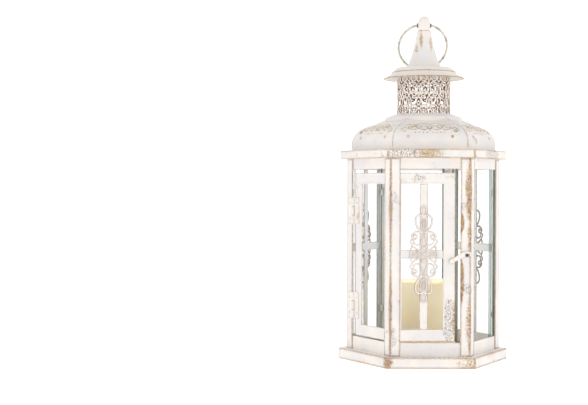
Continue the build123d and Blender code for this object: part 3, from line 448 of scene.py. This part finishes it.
zinc = bare_metal("dull_zinc", srgb("#b9b4ac"), srgb("#8b8278"), 0.3, 0.8)
dark_steel = bare_metal("dark_steel", srgb("#6f655c"), srgb("#3f352d"), 0.4, 0.7)
ring_wire = bare_metal("painted_wire_finish", srgb("#ddd6cb"), srgb("#958d82"), 0.3, 0.45)
finish_nodes(zinc, "cap_screw", "cap_washer", "cap_nut")
tab_metal = bare_metal("tab_metal", srgb("#e2dcd2"), srgb("#a89c8c"), 0.35, 0.5)
finish_nodes(tab_metal, "glass_clips", "door_glass_clips")
finish_nodes(dark_steel, "ring_eyelets", "latch_stud")
finish_nodes(ring_wire, "ring_handle")

# %% [markdown]
# ## Building pieces from strokes
# Scrollwork is drawn with strokes: a line that curls, with a rounded ridge across it. A stroke here is a
# list of points on a flat sheet of millimetres, made smooth by a Catmull-Rom curve, and given a
# half-round section. A second function says where on the lantern a point of that sheet lands, so the same
# strokes can be cast flat for the door, wrapped round the chimney, or pressed into a roof panel. Each
# vertex also remembers how far it is from the ridge, which is what the paint needs to know where
# sandpaper reaches and where wax stays.

# %% Smooth lines
def smooth_line(points, closed=False, steps=8):
    """A Catmull-Rom curve through the given points."""
    p = [Vector(q) for q in points]
    p = [p[-1], *p, p[0], p[1]] if closed else [2 * p[0] - p[1], *p, 2 * p[-1] - p[-2]]
    line = []
    for a, b, c, d in zip(p, p[1:], p[2:], p[3:]):
        for i in range(steps):
            t = i / steps
            bend, twist = 2 * a - 5 * b + 4 * c - d, 3 * b - a - 3 * c + d
            line.append(0.5 * (2 * b + (c - a) * t + bend * t**2 + twist * t**3))
    return line if closed else [*line, p[-2]]


def spiral(middle, start_radius, end_radius, start, turn, steps=22):
    """A curl: its radius shrinks from start to end as it turns, in degrees."""
    line = []
    for i in range(steps + 1):
        t = i / steps
        r, a = start_radius + (end_radius - start_radius) * t, math.radians(start + turn * t)
        line.append(Vector((middle[0] + r * math.cos(a), middle[1] + r * math.sin(a))))
    return line


def ring(middle, radius, high=None):
    """A closed ring, or an oval where high is given."""
    high = high or radius
    turns = [math.tau * i / 20 for i in range(20)]
    return [Vector((middle[0] + radius * math.cos(a), middle[1] + high * math.sin(a))) for a in turns]


# %% Strokes become meshes
SECTION = [(-1.0, 0.0), (-0.88, 0.52), (-0.55, 0.86), (0.0, 1.0), (0.55, 0.86), (0.88, 0.52), (1.0, 0.0)]


def stroke_mesh(name, strokes, land, width, height, sunk=0.3, taper=0.0, rub_ridge=False):
    """One mesh of many strokes, each (points, closed) or (points, closed, width), in mm.
    land(u, v, d) gives the place of a point of the sheet, d out of it."""
    verts, faces, rubs = [], [], []
    for points, closed, *own in strokes:
        w = (own[0] if own else width) / 2
        count, first = len(points), len(verts)
        for i, point in enumerate(points):
            before = points[i - 1] if i or closed else point
            after = points[(i + 1) % count] if i < count - 1 or closed else point
            along = (after - before).normalized()
            side = Vector((along.y, -along.x))
            ends = 1.0 if closed else min(1.0, 0.45 + min(i, count - 1 - i) / max(1, count * 0.18) * 0.55)
            thin = 1 - taper * (1 - ends)
            for share, rise in SECTION:
                q = point + side * share * w * thin
                verts.append(land(q.x, q.y, rise * height * thin))
                rubs.append(1 - abs(share) if rub_ridge else max(0.0, abs(share) * 1.6 - 0.6))
            for share in (1.0, -1.0):
                q = point + side * share * w * thin
                verts.append(land(q.x, q.y, -sunk))
                rubs.append(0.0 if rub_ridge else 1.0)
        loop = len(SECTION) + 2
        rows = count if closed else count - 1
        for i in range(rows):
            a, b = first + i * loop, first + ((i + 1) % count) * loop
            faces += [(a + k, a + (k + 1) % loop, b + (k + 1) % loop, b + k) for k in range(loop)]
        if not closed:
            faces.append(tuple(first + k for k in reversed(range(loop))))
            faces.append(tuple(first + (count - 1) * loop + k for k in range(loop)))
    return mesh_piece(name, verts, faces, rubs)


def mesh_piece(name, verts, faces, rubs=None):
    """A shown piece from vertices in metres, with an optional wear value for each."""
    mesh = bpy.data.meshes.new(name)
    mesh.from_pydata(verts, [], faces)
    mesh.polygons.foreach_set("use_smooth", [True] * len(mesh.polygons))
    if rubs is not None:
        mesh.attributes.new(RUB_LINE, "FLOAT", "POINT").data.foreach_set("value", rubs)
    mesh.validate()
    mesh.update()
    piece = bpy.data.objects.new(name, mesh)
    bpy.context.scene.collection.objects.link(piece)
    return piece


def fit_piece(piece, body, material, replaced=()):
    """Paints a piece, makes it ride on its body, and hides the frame nodes it stands for."""
    piece.data.materials.append(material)
    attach(piece, body)
    if replaced:
        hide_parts(*replaced)
    print(piece.name, len(piece.data.polygons), "faces on", body)


def mirrored(strokes, across=True, up=False):
    """The strokes and their mirror images, left to right, or top to bottom too."""
    out = list(strokes)
    if across:
        out += [([Vector((-p.x, p.y)) for p in s[0]], *s[1:]) for s in strokes]
    if up:
        out += [([Vector((p.x, -p.y)) for p in s[0]], *s[1:]) for s in list(out)]
    return out


print("section points:", len(SECTION))

# %% [markdown]
# ## The cast ornament
# A scrollwork casting sits on each glazing cross: a crown loop, a heart with a leaf in it, a pair of
# curls, and a woven diamond in the middle, and then the same again upside down. So only one quarter is
# drawn, in millimetres from the crossing, and the rest is its mirror images. The woven strands pass over
# and under each other, which a small wave in their height gives. The frame's plain pierced plate gives
# the place and the size.

# %% One quarter of the scrollwork
def ornament_strokes():
    """Strokes of the whole ornament, in millimetres from its middle."""
    heart = smooth_line([(0, 39.5), (1.9, 42.6), (4.9, 43.6), (8.0, 41.6), (9.2, 37.6), (8.3, 32.6),
                         (5.4, 27.4), (0, 23.4)])
    leaf = smooth_line([(0, 41.0), (2.3, 37.6), (3.3, 34.0), (2.2, 29.4), (0, 26.0)])
    vein = smooth_line([(0.9, 38.0), (1.3, 34.0), (0.7, 30.0)])
    curl = smooth_line([(1.4, 23.0), (4.6, 24.6), (9.6, 24.3), (12.9, 21.6)])
    curl += spiral((9.9, 19.6), 3.4, 0.9, 20, -400)
    bump = smooth_line([(11.4, 16.0), (14.4, 15.4), (14.6, 12.6), (12.2, 11.2)])
    inner = smooth_line([(0.2, 22.6), (2.1, 17.6), (3.0, 13.4), (6.8, 10.4), (10.4, 12.2), (11.9, 16.6)])
    side = smooth_line([(12.2, 11.2), (13.6, 7.2), (14.7, 3.0), (14.9, 0)])
    quarter = [(heart, False), (leaf, False, 1.5), (vein, False, 1.0), (curl, False), (bump, False, 1.8),
               (inner, False, 1.8), (side, False, 2.0)]
    crown = smooth_line([(0, 53.0), (2.6, 51.4), (3.0, 47.6), (1.7, 44.4), (0, 42.4), (-1.7, 44.4),
                         (-3.0, 47.6), (-2.6, 51.4)], closed=True)
    return mirrored(quarter, up=True) + mirrored([(crown, True, 2.0)], across=False, up=True)


def woven_strands():
    """The middle diamond: strands that slant both ways, in millimetres."""
    strands = []
    for offset in (-7.6, 0.0, 7.6):
        reach = 13.2 - abs(offset) * 0.55
        line = [Vector((t * reach + offset * 0.42, t * reach * 0.74 - offset * 0.62))
                for t in np.linspace(-1, 1, 25)]
        strands.append((line, False, 2.0))
    return mirrored(strands)


print(len(ornament_strokes()), "scroll strokes,", len(woven_strands()), "woven strands")

# %% Scrollwork paint
def scroll_paint_finish(name, brown=0.95, shift=0.0):
    """Cream on the ridges, brown wax down the sides, and a little rub on top."""
    s = Shader(name)
    place = s.moved(s.node("TexCoord", output="Object"), shift=(shift, 0, shift))
    low = s.node("Attribute", {"attribute_name": RUB_LINE}, output="Fac")
    patchy, fine = s.noise(place, 130.0, 4.0, 0.65), s.noise(place, 620.0, 3.0)
    wander = (patchy - 0.5) * 1.4 + (fine - 0.5) * 0.8
    deep = s.ramp(low + wander * 0.6, 0.22, 0.7) * brown
    top = s.ramp((1 - low) * 0.5 + wander, 0.78, 1.0) * 0.7
    tone = s.mix(s.ramp(patchy, 0.4, 0.7), CREAM, WARM_CREAM)
    metal = s.mix(s.ramp(fine, 0.4, 0.6), RUBBED_BROWN, CASTING_BROWN)
    colour = s.mix(s.clamp(deep + top * 0.5), tone, metal)
    bump = s.node("Bump", {}, {"Strength": 0.35, "Distance": 0.2 * MM, "Height": fine + patchy * 0.6})
    paint = {"Base Color": colour, "Roughness": 0.42 + fine * 0.2, "Metallic": deep * 0.3, "Normal": bump}
    return s.surface(s.node("BsdfPrincipled", {}, paint))


casting_paint = scroll_paint_finish("casting_paint")
print(casting_paint.name)

# %% Cast an ornament on each cross
CASTING_DEPTH = 1.2      # a casting's ridge above its back, mm


def flat_on_face(angle, distance, across, level):
    """Lays a sheet of millimetres on a face, its origin at a place across and up that face."""
    origin = outward(angle) * distance + rightward(angle) * across + Vector((0, 0, level))
    return lambda u, v, d: origin + (rightward(angle) * u + Vector((0, 0, v)) + outward(angle) * d) * MM


def cast_ornament(name, node, face, body):
    """Replaces a frame ornament plate by a casting of the same size, in the same place."""
    low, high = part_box(node)
    middle = (low + high) / 2
    plate_front = face_distance(node, FACES[face])
    across = middle.dot(rightward(FACES[face]))
    lay = flat_on_face(FACES[face], plate_front - CASTING_DEPTH * MM, across, middle.z)
    scrolls = stroke_mesh(name, ornament_strokes(), lay, 2.2, CASTING_DEPTH, sunk=0.0, taper=0.45)
    fit_piece(scrolls, body, casting_paint, (node,))

    def over_and_under(u, v, d):
        wave = math.sin(math.tau * (u + v * 1.3) / 13.0) * (1 if u * v > 0 else -1)
        return lay(u, v, d + 0.45 * wave + 0.25)

    weave = stroke_mesh(f"{name}_weave", woven_strands(), over_and_under, 2.0, 0.9, sunk=0.5, taper=0.4)
    fit_piece(weave, body, casting_paint)


cast_ornament("door_scrollwork", "door_ornament", "front", "door")
for face in ("back_left", "back_right"):
    cast_ornament(f"scrollwork_{face}", f"ornament_{face}", face, "lantern_body")

# %% [markdown]
# ## The pierced chimney
# The chimney is die-cut lace: sheet steel with everything cut away except scrolls, and rolled into a
# tube. Here one repeat of the lace is drawn flat, and the landing function rolls it round the axis. Rings
# make the scalloped lower edge, drops stand between them, and curls and small rings fill the space up to
# a plain band under the cap.

# %% Lace of the chimney
CHIMNEY_REPEATS = 8
LACE_START = 3.0       # where the first repeat begins, mm
LACE_WEIGHT = 1.22     # how much wider the lines are cut than drawn
chimney_low, chimney_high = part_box("chimney_filigree")
chimney_radius = chimney_high.x
repeat = math.tau * chimney_radius / MM / CHIMNEY_REPEATS
lace_height = (chimney_high.z - chimney_low.z) / MM
print("repeat", round(repeat, 2), "mm, lace", round(lace_height, 1), "mm high")


def lace_strokes():
    """One repeat of the lace, in millimetres: across from its middle, and up from its foot."""
    q = repeat / 4
    half = [
        (ring((q, 4.9), 4.4), True, 1.7),
        (ring((q, 4.9), 1.9), True, 1.0),
        (smooth_line([(0.3, 6.0), (2.3, 9.4), (3.2, 13.4), (2.1, 17.2), (0.2, 19.6)]), False, 1.6),
        (smooth_line([(0.4, 10.2), (0.9, 13.4), (0.3, 16.6)]), False, 1.2),
        (smooth_line([(2 * q, 8.4), (2 * q - 1.9, 11.6), (2 * q - 2.4, 15.0), (2 * q, 18.4)]), False, 1.5),
        (smooth_line([(0.2, 19.6), (2.4, 23.8), (6.4, 25.8)])
         + spiral((6.7, 22.0), 3.7, 1.0, 92, -430), False, 1.6),
        (smooth_line([(2 * q, 18.4), (2 * q - 3.0, 17.0), (6.4, 17.4), (4.4, 19.4)]), False, 1.4),
        (smooth_line([(0.2, 19.6), (1.7, 25.8), (1.0, 31.2), (3.4, 35.2), (7.2, 34.6)])
         + spiral((7.1, 31.6), 3.0, 0.9, 86, -400), False, 1.6),
        (smooth_line([(2 * q, 18.4), (2 * q - 1.6, 23.6), (2 * q - 1.2, 29.4), (2 * q - 2.6, 33.4)]),
         False, 1.5),
        (ring((2 * q, 31.4), 1.7, 2.6), True, 1.2),
        (ring((q, 39.6), 3.1), True, 1.5),
        (ring((q, 39.6), 1.1), True, 0.9),
        (smooth_line([(0, 36.6), (1.6, 38.6), (1.5, 41.4), (0, 43.4)]), False, 1.3),
        (smooth_line([(2 * q, 35.4), (2 * q - 1.9, 38.2), (2 * q - 1.8, 41.4), (2 * q, 43.6)]), False, 1.4),
    ]
    return mirrored(half)


# %% Roll the lace
def rolled(u, v, d):
    """Wraps a flat sheet round the axis, so that its left end is at the front."""
    angle = u / (chimney_radius / MM) - math.pi / 2
    r = chimney_radius - (0.75 - d) * MM
    return Vector((r * math.cos(angle), r * math.sin(angle), chimney_low.z + v * MM))


lace = []
for i in range(CHIMNEY_REPEATS):
    shift = Vector((i * repeat + LACE_START, 0))
    for points, closed, width in lace_strokes():
        lace.append(([p + shift for p in points], closed, width * LACE_WEIGHT))
chimney_lace = stroke_mesh("chimney_lace", lace, rolled, 1.6, 0.62, sunk=0.35, taper=0.4)
lace_paint = scroll_paint_finish("lace_paint", brown=0.85, shift=0.3)
fit_piece(chimney_lace, "lantern_body", lace_paint, ("chimney_filigree",))


# %% Turned pieces
def turned(name, outline, turns=128, rub_at=(), rub_width=0.8):
    """A piece turned round the axis from a closed outline of (radius, height) in mm, worn near rub_at."""
    verts, faces, rubs = [], [], []
    for i in range(turns):
        a = math.tau * i / turns
        for r, z in outline:
            verts.append(Vector((r * math.cos(a), r * math.sin(a), z)) * MM)
            near = min((math.hypot(r - x, z - y) for x, y in rub_at), default=9.0)
            rubs.append(max(0.0, 1 - near / rub_width))
    rows = len(outline)
    pairs = [(k, (k + 1) % rows) for k in range(rows)]
    for i in range(turns):
        a, b = i * rows, (i + 1) % turns * rows
        faces += [(a + k, b + k, b + m, a + m) for k, m in pairs]
    return mesh_piece(name, verts, faces, rubs)


def band_round(name, low, high, outer, inner):
    """A flat ring of sheet round the axis, its edges slightly rolled; heights and radii in mm."""
    edge = 0.3
    outline = [(inner, low), (outer - edge, low), (outer, low + edge), (outer, high - edge),
               (outer - edge, high), (inner, high)]
    return turned(name, outline)


top = chimney_high.z / MM
lace_r = chimney_radius / MM
top_band = band_round("chimney_top_band", top - 8.6, top - 0.05, lace_r - 0.1, lace_r - 0.75)
fit_piece(top_band, "lantern_body", lace_paint)

# %% [markdown]
# ## The cap
# The cap's brim and cone are spun: a disc of sheet is pressed against a turning form, and the tool leaves
# faint rings. The brim falls away from the chimney in a shallow flare with one low rib, where the paint
# is rubbed to gold. The cone sweeps up to the knob. Both are turned here from their outlines, thin and
# hollow like the real ones, so that the brim shows its underside from below.

# %% Spun outlines
CAP_SHEET, SCREW_HOLE = 0.8, 2.2      # the cap's sheet and the radius of the hole in it, mm


def spun(outer, sheet):
    """A closed outline for sheet metal, from its outer line downwards or outwards, in mm."""
    inner = []
    for i, (r, z) in enumerate(outer):
        (r0, z0), (r1, z1) = outer[max(0, i - 1)], outer[min(len(outer) - 1, i + 1)]
        length = math.hypot(r1 - r0, z1 - z0)
        inner.append((max(0.05, r - sheet * (z0 - z1) / length), z - sheet * (r1 - r0) / length))
    return [*outer, *reversed(inner)]


def flowing(points, steps=6):
    """An outline made smooth."""
    return [(q.x, q.y) for q in smooth_line(points, steps=steps)]


brim_low, brim_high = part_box("cap_brim")
brim_r, brim_foot, cap_z = brim_high.x / MM, brim_low.z / MM, brim_high.z / MM
rib = (brim_r - 9.8, cap_z - 5.4)
brim_outline = [(SCREW_HOLE, cap_z - 0.02)] + flowing(
    [(brim_r - 26.0, cap_z - 0.02), (brim_r - 17.0, cap_z - 0.05), (brim_r - 14.2, cap_z - 0.9),
     (rib[0] - 1.6, rib[1] + 1.6), rib, (rib[0] + 1.5, rib[1] - 2.0), (brim_r - 4.0, brim_foot + 3.4),
     (brim_r - 0.75, brim_foot + 1.35), (brim_r - 0.1, brim_foot + 1.0)])
cap_brim = turned("spun_brim", spun(brim_outline, CAP_SHEET), rub_at=(rib, (brim_r, brim_foot + 0.9)),
                  rub_width=1.5)
fit_piece(cap_brim, "lantern_body", cap_paint, ("cap_brim",))

# %% The cone, with the rings that spinning leaves
cone_foot, cone_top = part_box("cap_cone")[0].z / MM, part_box("cap_cone")[1].z / MM
rise = cone_top - cone_foot
GROOVE_DEPTH, GROOVE_STEP = 0.14, 3.6      # the spinning tool's rings, mm
sweep_up = flowing([(20.9, 0.0), (19.9, 1.3), (18.2, 4.6), (15.6, 11.0), (13.1, 19.5), (10.6, 29.5),
                    (8.4, rise - 2.0), (7.3, rise - 0.5)], steps=14)
grooved = []
for r, z in sweep_up:
    groove = GROOVE_DEPTH * max(0.0, math.sin(math.tau * z / GROOVE_STEP)) ** 3
    grooved.append((r - (groove if 9 < z < rise - 4 else 0.0), cone_foot + z))
cone_outline = [(SCREW_HOLE, cone_top), (6.6, cone_top), *reversed(grooved)]
spun_cone = turned("spun_cone", spun(cone_outline, CAP_SHEET), rub_at=[grooved[-1]], rub_width=0.5)
fit_piece(spun_cone, "lantern_body", cap_paint, ("cap_cone",))

# %% [markdown]
# ## The stamped roof
# Each roof panel is stamped before it is soldered to its neighbours: a bracket-shaped border near the
# collar, curls and small flowers under it, and a row of dots. The strokes are drawn on the panel by how
# far across it they are and how steep the roof is there, measured as an angle from a point inside the
# roof. A ray cast from outside onto the real panel finds the surface, so the relief hugs the frame's own
# curve.

# %% The roof's own curve
ROOF_HEART = Vector((0.0, -45 * MM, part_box("roof_panel_front")[0].z + 2 * MM))
roof_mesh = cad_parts["roof_panel_front"].data
roof_faces = [tuple(p.vertices) for p in roof_mesh.polygons]
roof_tree = BVHTree.FromPolygons([v.co.copy() for v in roof_mesh.vertices], roof_faces)


def roof_curve(steep):
    """Distance from the axis, height, and surface direction of the roof at a steepness in degrees."""
    ray = Vector((0, -math.cos(math.radians(steep)), math.sin(math.radians(steep))))
    hit, normal, _, _ = roof_tree.ray_cast(ROOF_HEART + ray * 80 * MM, -ray)
    if normal.dot(ray) < 0:
        normal = -normal
    return -hit.y, hit.z, -normal.y, normal.z


STEEPS = range(2, 73)      # degrees
curve = [roof_curve(a) for a in STEEPS]
print("roof from", [round(x / MM, 1) for x in curve[0][:2]], "to", [round(x / MM, 1) for x in curve[-1][:2]])


def roof_at(v):
    """The same, at a height v in mm along the curve, half a millimetre to a degree."""
    return [float(np.interp(v * 2, STEEPS, column)) for column in zip(*curve)]


def on_roof(angle):
    """Lays a sheet of millimetres on the roof panel of one face."""
    def land(u, v, d):
        distance, height, out, up = roof_at(v)
        place = outward(angle) * (distance + out * d * MM) + rightward(angle) * u * MM
        return place + Vector((0, 0, height + up * d * MM))
    return land


# %% Stamped relief
def relief_strokes():
    """The stamping on one panel: across from its middle and up along the roof, in mm."""
    border = smooth_line([(0, 32.2), (2.4, 33.9), (6.4, 34.6), (10.6, 34.2), (13.6, 31.6), (17.6, 31.0),
                          (22.4, 31.8), (26.6, 30.0)])
    big_curl = smooth_line([(2.2, 22.6), (6.4, 20.6), (11.6, 22.2)])
    big_curl += spiral((10.6, 26.4), 4.0, 1.2, -60, 380)
    s_curl = smooth_line([(14.6, 22.4), (17.4, 20.6), (21.4, 21.4)])
    s_curl += spiral((20.6, 24.6), 3.1, 0.9, -70, 360)
    leaf = smooth_line([(0, 20.6), (1.9, 23.4), (1.7, 26.8), (0, 29.4)])
    bud = smooth_line([(0.0, 22.6), (3.4, 25.2), (4.6, 28.6), (3.0, 30.8)])
    tail = smooth_line([(24.4, 22.4), (27.6, 24.6), (30.4, 22.6), (33.2, 19.0)])
    tail_curl = spiral((29.2, 19.4), 2.4, 0.7, 60, 400)
    petals = [(ring((16.0 + 1.5 * math.cos(a), 27.4 + 1.5 * math.sin(a)), 0.75), True, 0.7)
              for a in (0.4, 1.66, 2.9, 4.2, 5.4)]
    half = [(border, False, 1.9), (big_curl, False, 2.0), (s_curl, False, 1.8), (leaf, False, 1.7),
            (bud, False, 1.4), (tail, False, 1.6), (tail_curl, False, 1.4), *petals]
    dots = [(ring((x, 17.2), 0.45), True, 0.8) for x in (3.2, 7.6, 12.0, 16.4)]
    dots += [(ring((24.6, 12.4), 1.3), True, 0.9), (ring((24.6, 12.4), 0.4), True, 0.6)]
    return mirrored(half + dots)


def relief_paint_finish():
    """Cream sunk ground, with the raised lines rubbed to gold and grey-brown."""
    s = Shader("relief_paint")
    place = s.node("TexCoord", output="Object")
    ridge = s.node("Attribute", {"attribute_name": RUB_LINE}, output="Fac")
    broad, patchy = s.noise(place, 34.0, 2.0), s.noise(place, 120.0, 4.0, 0.65)
    fine = s.noise(place, 700.0, 3.0)
    wander = (broad - 0.5) * 1.1 + (patchy - 0.5) * 1.1 + (fine - 0.5) * 0.7
    worn = s.ramp(ridge * 0.8 + wander, 0.3, 0.66) * 0.92
    metal = s.mix(s.ramp(broad, 0.42, 0.58), RELIEF_BROWN, RELIEF_GOLD)
    colour = s.mix(worn, s.mix(patchy, CREAM, WARM_CREAM), metal)
    bump = s.node("Bump", {}, {"Strength": 0.3, "Distance": 0.15 * MM, "Height": fine})
    paint = {"Base Color": colour, "Roughness": 0.44 + fine * 0.2, "Metallic": worn * 0.3, "Normal": bump}
    return s.surface(s.node("BsdfPrincipled", {}, paint))


relief_paint = relief_paint_finish()
for face, angle in FACES.items():
    relief = stroke_mesh(f"stamping_{face}", relief_strokes(), on_roof(angle), 1.7, 0.85, sunk=0.4, taper=0.6,
                         rub_ridge=True)
    fit_piece(relief, "lantern_body", relief_paint)

# %% [markdown]
# ## Soldered seams
# Where two roof panels meet, the solder stands up as a thin rib, and it is the first place to lose its
# paint. The seam follows the same curve as the panels, at the corner between two faces, from the eave to
# the collar.

# %% Seams
def seam_line(corner):
    """A land function along the roof's corner: u is across the seam, v up along the roof."""
    def land(u, v, d):
        distance, height, out, up = roof_at(v)
        reach = distance / math.cos(math.radians(30)) + out * (d - 0.15) * MM
        return outward(corner) * reach + rightward(corner) * u * MM + Vector((0, 0, height + up * d * MM))
    return land


seam_paint = distressed_paint("seam_paint", rub=0.7, shift=0.91, gold=0.5, edge_mm=0.8, corner_shading=0.9,
                              line=RUB_LINE)
seam_run = [Vector((0, v)) for v in np.linspace(1.0, 35.6, 40)]
for number, corner in enumerate(range(0, 360, 60)):
    seam = stroke_mesh(f"roof_seam_{number}", [(seam_run, False)], seam_line(corner), 1.5, 0.55, sunk=0.5,
                       rub_ridge=True)
    fit_piece(seam, "lantern_body", seam_paint)

# %% [markdown]
# ## Beads round the door's openings
# The sash is folded over along each opening to hold the glass, which leaves a thin bright bead. It is one
# closed stroke on each of the door's two faces.

# %% Sash beads
bead_paint = distressed_paint("bead_paint", rub=0.5, shift=0.57, edge_mm=0.8, corner_shading=0.8)


def sash_bead(name, node, face, left, right):
    """A bead round an opening of the sash that spans left to right, in mm from the face's middle."""
    low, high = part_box(node)
    bottom, top = low.z / MM + 12.4, high.z / MM - 11.8
    distance = face_distance(node, FACES[face])
    step = 4.0
    corners = [Vector((left, bottom)), Vector((right, bottom)), Vector((right, top)), Vector((left, top))]
    path = []
    for a, b in zip(corners, corners[1:] + corners[:1]):
        count = max(2, round((b - a).length / step))
        path += [a + (b - a) * i / count for i in range(count)]
    bead = stroke_mesh(name, [(path, True)], flat_on_face(FACES[face], distance, 0, 0), 1.5, 0.5, sunk=0.3)
    fit_piece(bead, "door", bead_paint)


sash_bead("door_front_bead", "door_front_sash", "front", -32.6, 15.2)
sash_bead("door_left_bead", "door_left_sash", "left_front", -15.2, 32.6)

# %% [markdown]
# ## The candle
# A pillar candle that has been lit once or twice: its rim has softened, the top dishes towards the wick,
# and the wax has run smooth. It is turned like the cap, and then its surface is moved a few tenths of a
# millimetre by a slow wave, so that it isn't a perfect cylinder. The wick is braided cotton with a slight
# bend.

# %% Pillar candle
candle_low, candle_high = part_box("candle")
candle_r, foot, head = candle_high.x / MM, candle_low.z / MM, candle_high.z / MM
wax_outline = flowing([(0.4, head - 9.2), (3.0, head - 8.6), (9.0, head - 4.6), (18.0, head - 2.4),
                       (27.0, head - 1.6), (31.5, head - 0.5), (34.2, head - 0.1), (36.3, head - 1.2),
                       (37.1, head - 3.6)])
wax_outline += [(candle_r - 0.25, z) for z in np.linspace(head - 8, foot + 2.4, 14)]
wax_outline += [(candle_r - 0.9, foot + 0.6), (candle_r - 2.2, foot + 0.02), (0.4, foot + 0.02)]
pillar = turned("pillar_candle", wax_outline, turns=144)
for v in pillar.data.vertices:
    a, r = math.atan2(v.co.y, v.co.x), math.hypot(v.co.x, v.co.y)
    if v.co.z > candle_low.z + 4 * MM and r > 20 * MM:
        rim_wave = 0.35 * math.sin(2 * a + 0.6) + 0.2 * math.sin(5 * a)
        v.co.z += rim_wave * MM * (v.co.z > candle_high.z - 6 * MM) - 0.5 * MM
        v.co *= 1 - 0.003 * (1 + math.sin(3 * a + v.co.z * 60)) / 2 if v.co.z < candle_high.z - 8 * MM else 1
fit_piece(pillar, "lantern_body", wax, ("candle",))

wick_low, wick_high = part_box("wick")
strand = bpy.data.curves.new("cotton_wick", "CURVE")
strand.dimensions, strand.bevel_depth = "3D", 0.95 * MM
strand.bevel_resolution, strand.use_fill_caps = 4, True
spline = strand.splines.new("BEZIER")
spline.bezier_points.add(2)
bends = ((0, wick_low.z), (0.15, (wick_low.z + wick_high.z) / 2), (0.9, wick_high.z))
for point, (x, z) in zip(spline.bezier_points, bends):
    point.co = (x * MM, 0, z - (0.9 * MM if z == wick_high.z else 0))
    point.handle_left_type = point.handle_right_type = "AUTO"
cotton_wick = bpy.data.objects.new("cotton_wick", strand)
bpy.context.scene.collection.objects.link(cotton_wick)
cotton_wick.data.materials.append(cotton)
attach(cotton_wick, "lantern_body")
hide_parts("wick")

# %% [markdown]
# ## The studio
# A white sweep, so there is no line where the floor ends, and broad soft lights: one large panel over the
# front left, weaker ones at the right and straight in front, and an even white surround that fills the
# shadows. A real white room also lights the inside of the lantern from every side, and a small lamp that
# isn't seen stands in for that. White on white only reads when the background is brighter than the paint,
# so the sweep glows a little.

# %% Sweep
SWEEP_HALF, SWEEP_FRONT, SWEEP_BACK, SWEEP_HEIGHT, SWEEP_BEND = 8.0, -3.2, 1.6, 2.6, 0.8


def studio_sweep():
    """The floor runs back, bends up and becomes the backdrop."""
    rail = [(SWEEP_FRONT, 0.0)]
    for i in range(13):
        a = math.pi / 2 * i / 12
        rail.append((SWEEP_BACK - SWEEP_BEND + SWEEP_BEND * math.sin(a), SWEEP_BEND * (1 - math.cos(a))))
    rail.append((SWEEP_BACK, SWEEP_HEIGHT))
    verts = [(x, y, z) for y, z in rail for x in (-SWEEP_HALF, SWEEP_HALF)]
    faces = [(2 * i, 2 * i + 1, 2 * i + 3, 2 * i + 2) for i in range(len(rail) - 1)]
    floor = mesh_piece("studio_sweep", verts, faces)
    s = Shader("studio_white")
    glow = {"Base Color": (0.9, 0.9, 0.9, 1), "Roughness": 0.9, "Emission Color": (1, 1, 1, 1),
            "Emission Strength": 0.5}
    floor.data.materials.append(s.surface(s.node("BsdfPrincipled", {}, glow)))


studio_sweep()

# %% Lights
def panel_light(name, place, size, power):
    """A square soft light that points at the lantern's middle."""
    lamp = bpy.data.lights.new(name, "AREA")
    lamp.size, lamp.energy = size, power
    piece = bpy.data.objects.new(name, lamp)
    piece.location = place
    piece.rotation_euler = (Vector((0, 0, 0.2)) - Vector(place)).to_track_quat("-Z", "Y").to_euler()
    bpy.context.scene.collection.objects.link(piece)


panel_light("key_panel", (-1.1, -1.5, 1.7), 1.2, 9.0)
panel_light("side_panel", (1.6, -0.6, 0.9), 1.0, 4.0)
panel_light("front_panel", (0.35, -1.9, 0.35), 1.4, 3.5)
inside = bpy.data.lights.new("inside_fill", "POINT")
inside.energy, inside.shadow_soft_size = 0.1, 0.025
inside_fill = bpy.data.objects.new("inside_fill", inside)
inside_fill.location = (0, -0.008, 0.165)
inside_fill.visible_camera = inside_fill.visible_glossy = False
bpy.context.scene.collection.objects.link(inside_fill)
world = bpy.data.worlds.new("surround")
world.use_nodes = True
world.node_tree.nodes["Background"].inputs["Color"].default_value = (1, 1, 1, 1)
world.node_tree.nodes["Background"].inputs["Strength"].default_value = 0.6
bpy.context.scene.world = world
bpy.context.scene.view_settings.view_transform = "Standard"
print("studio ready")
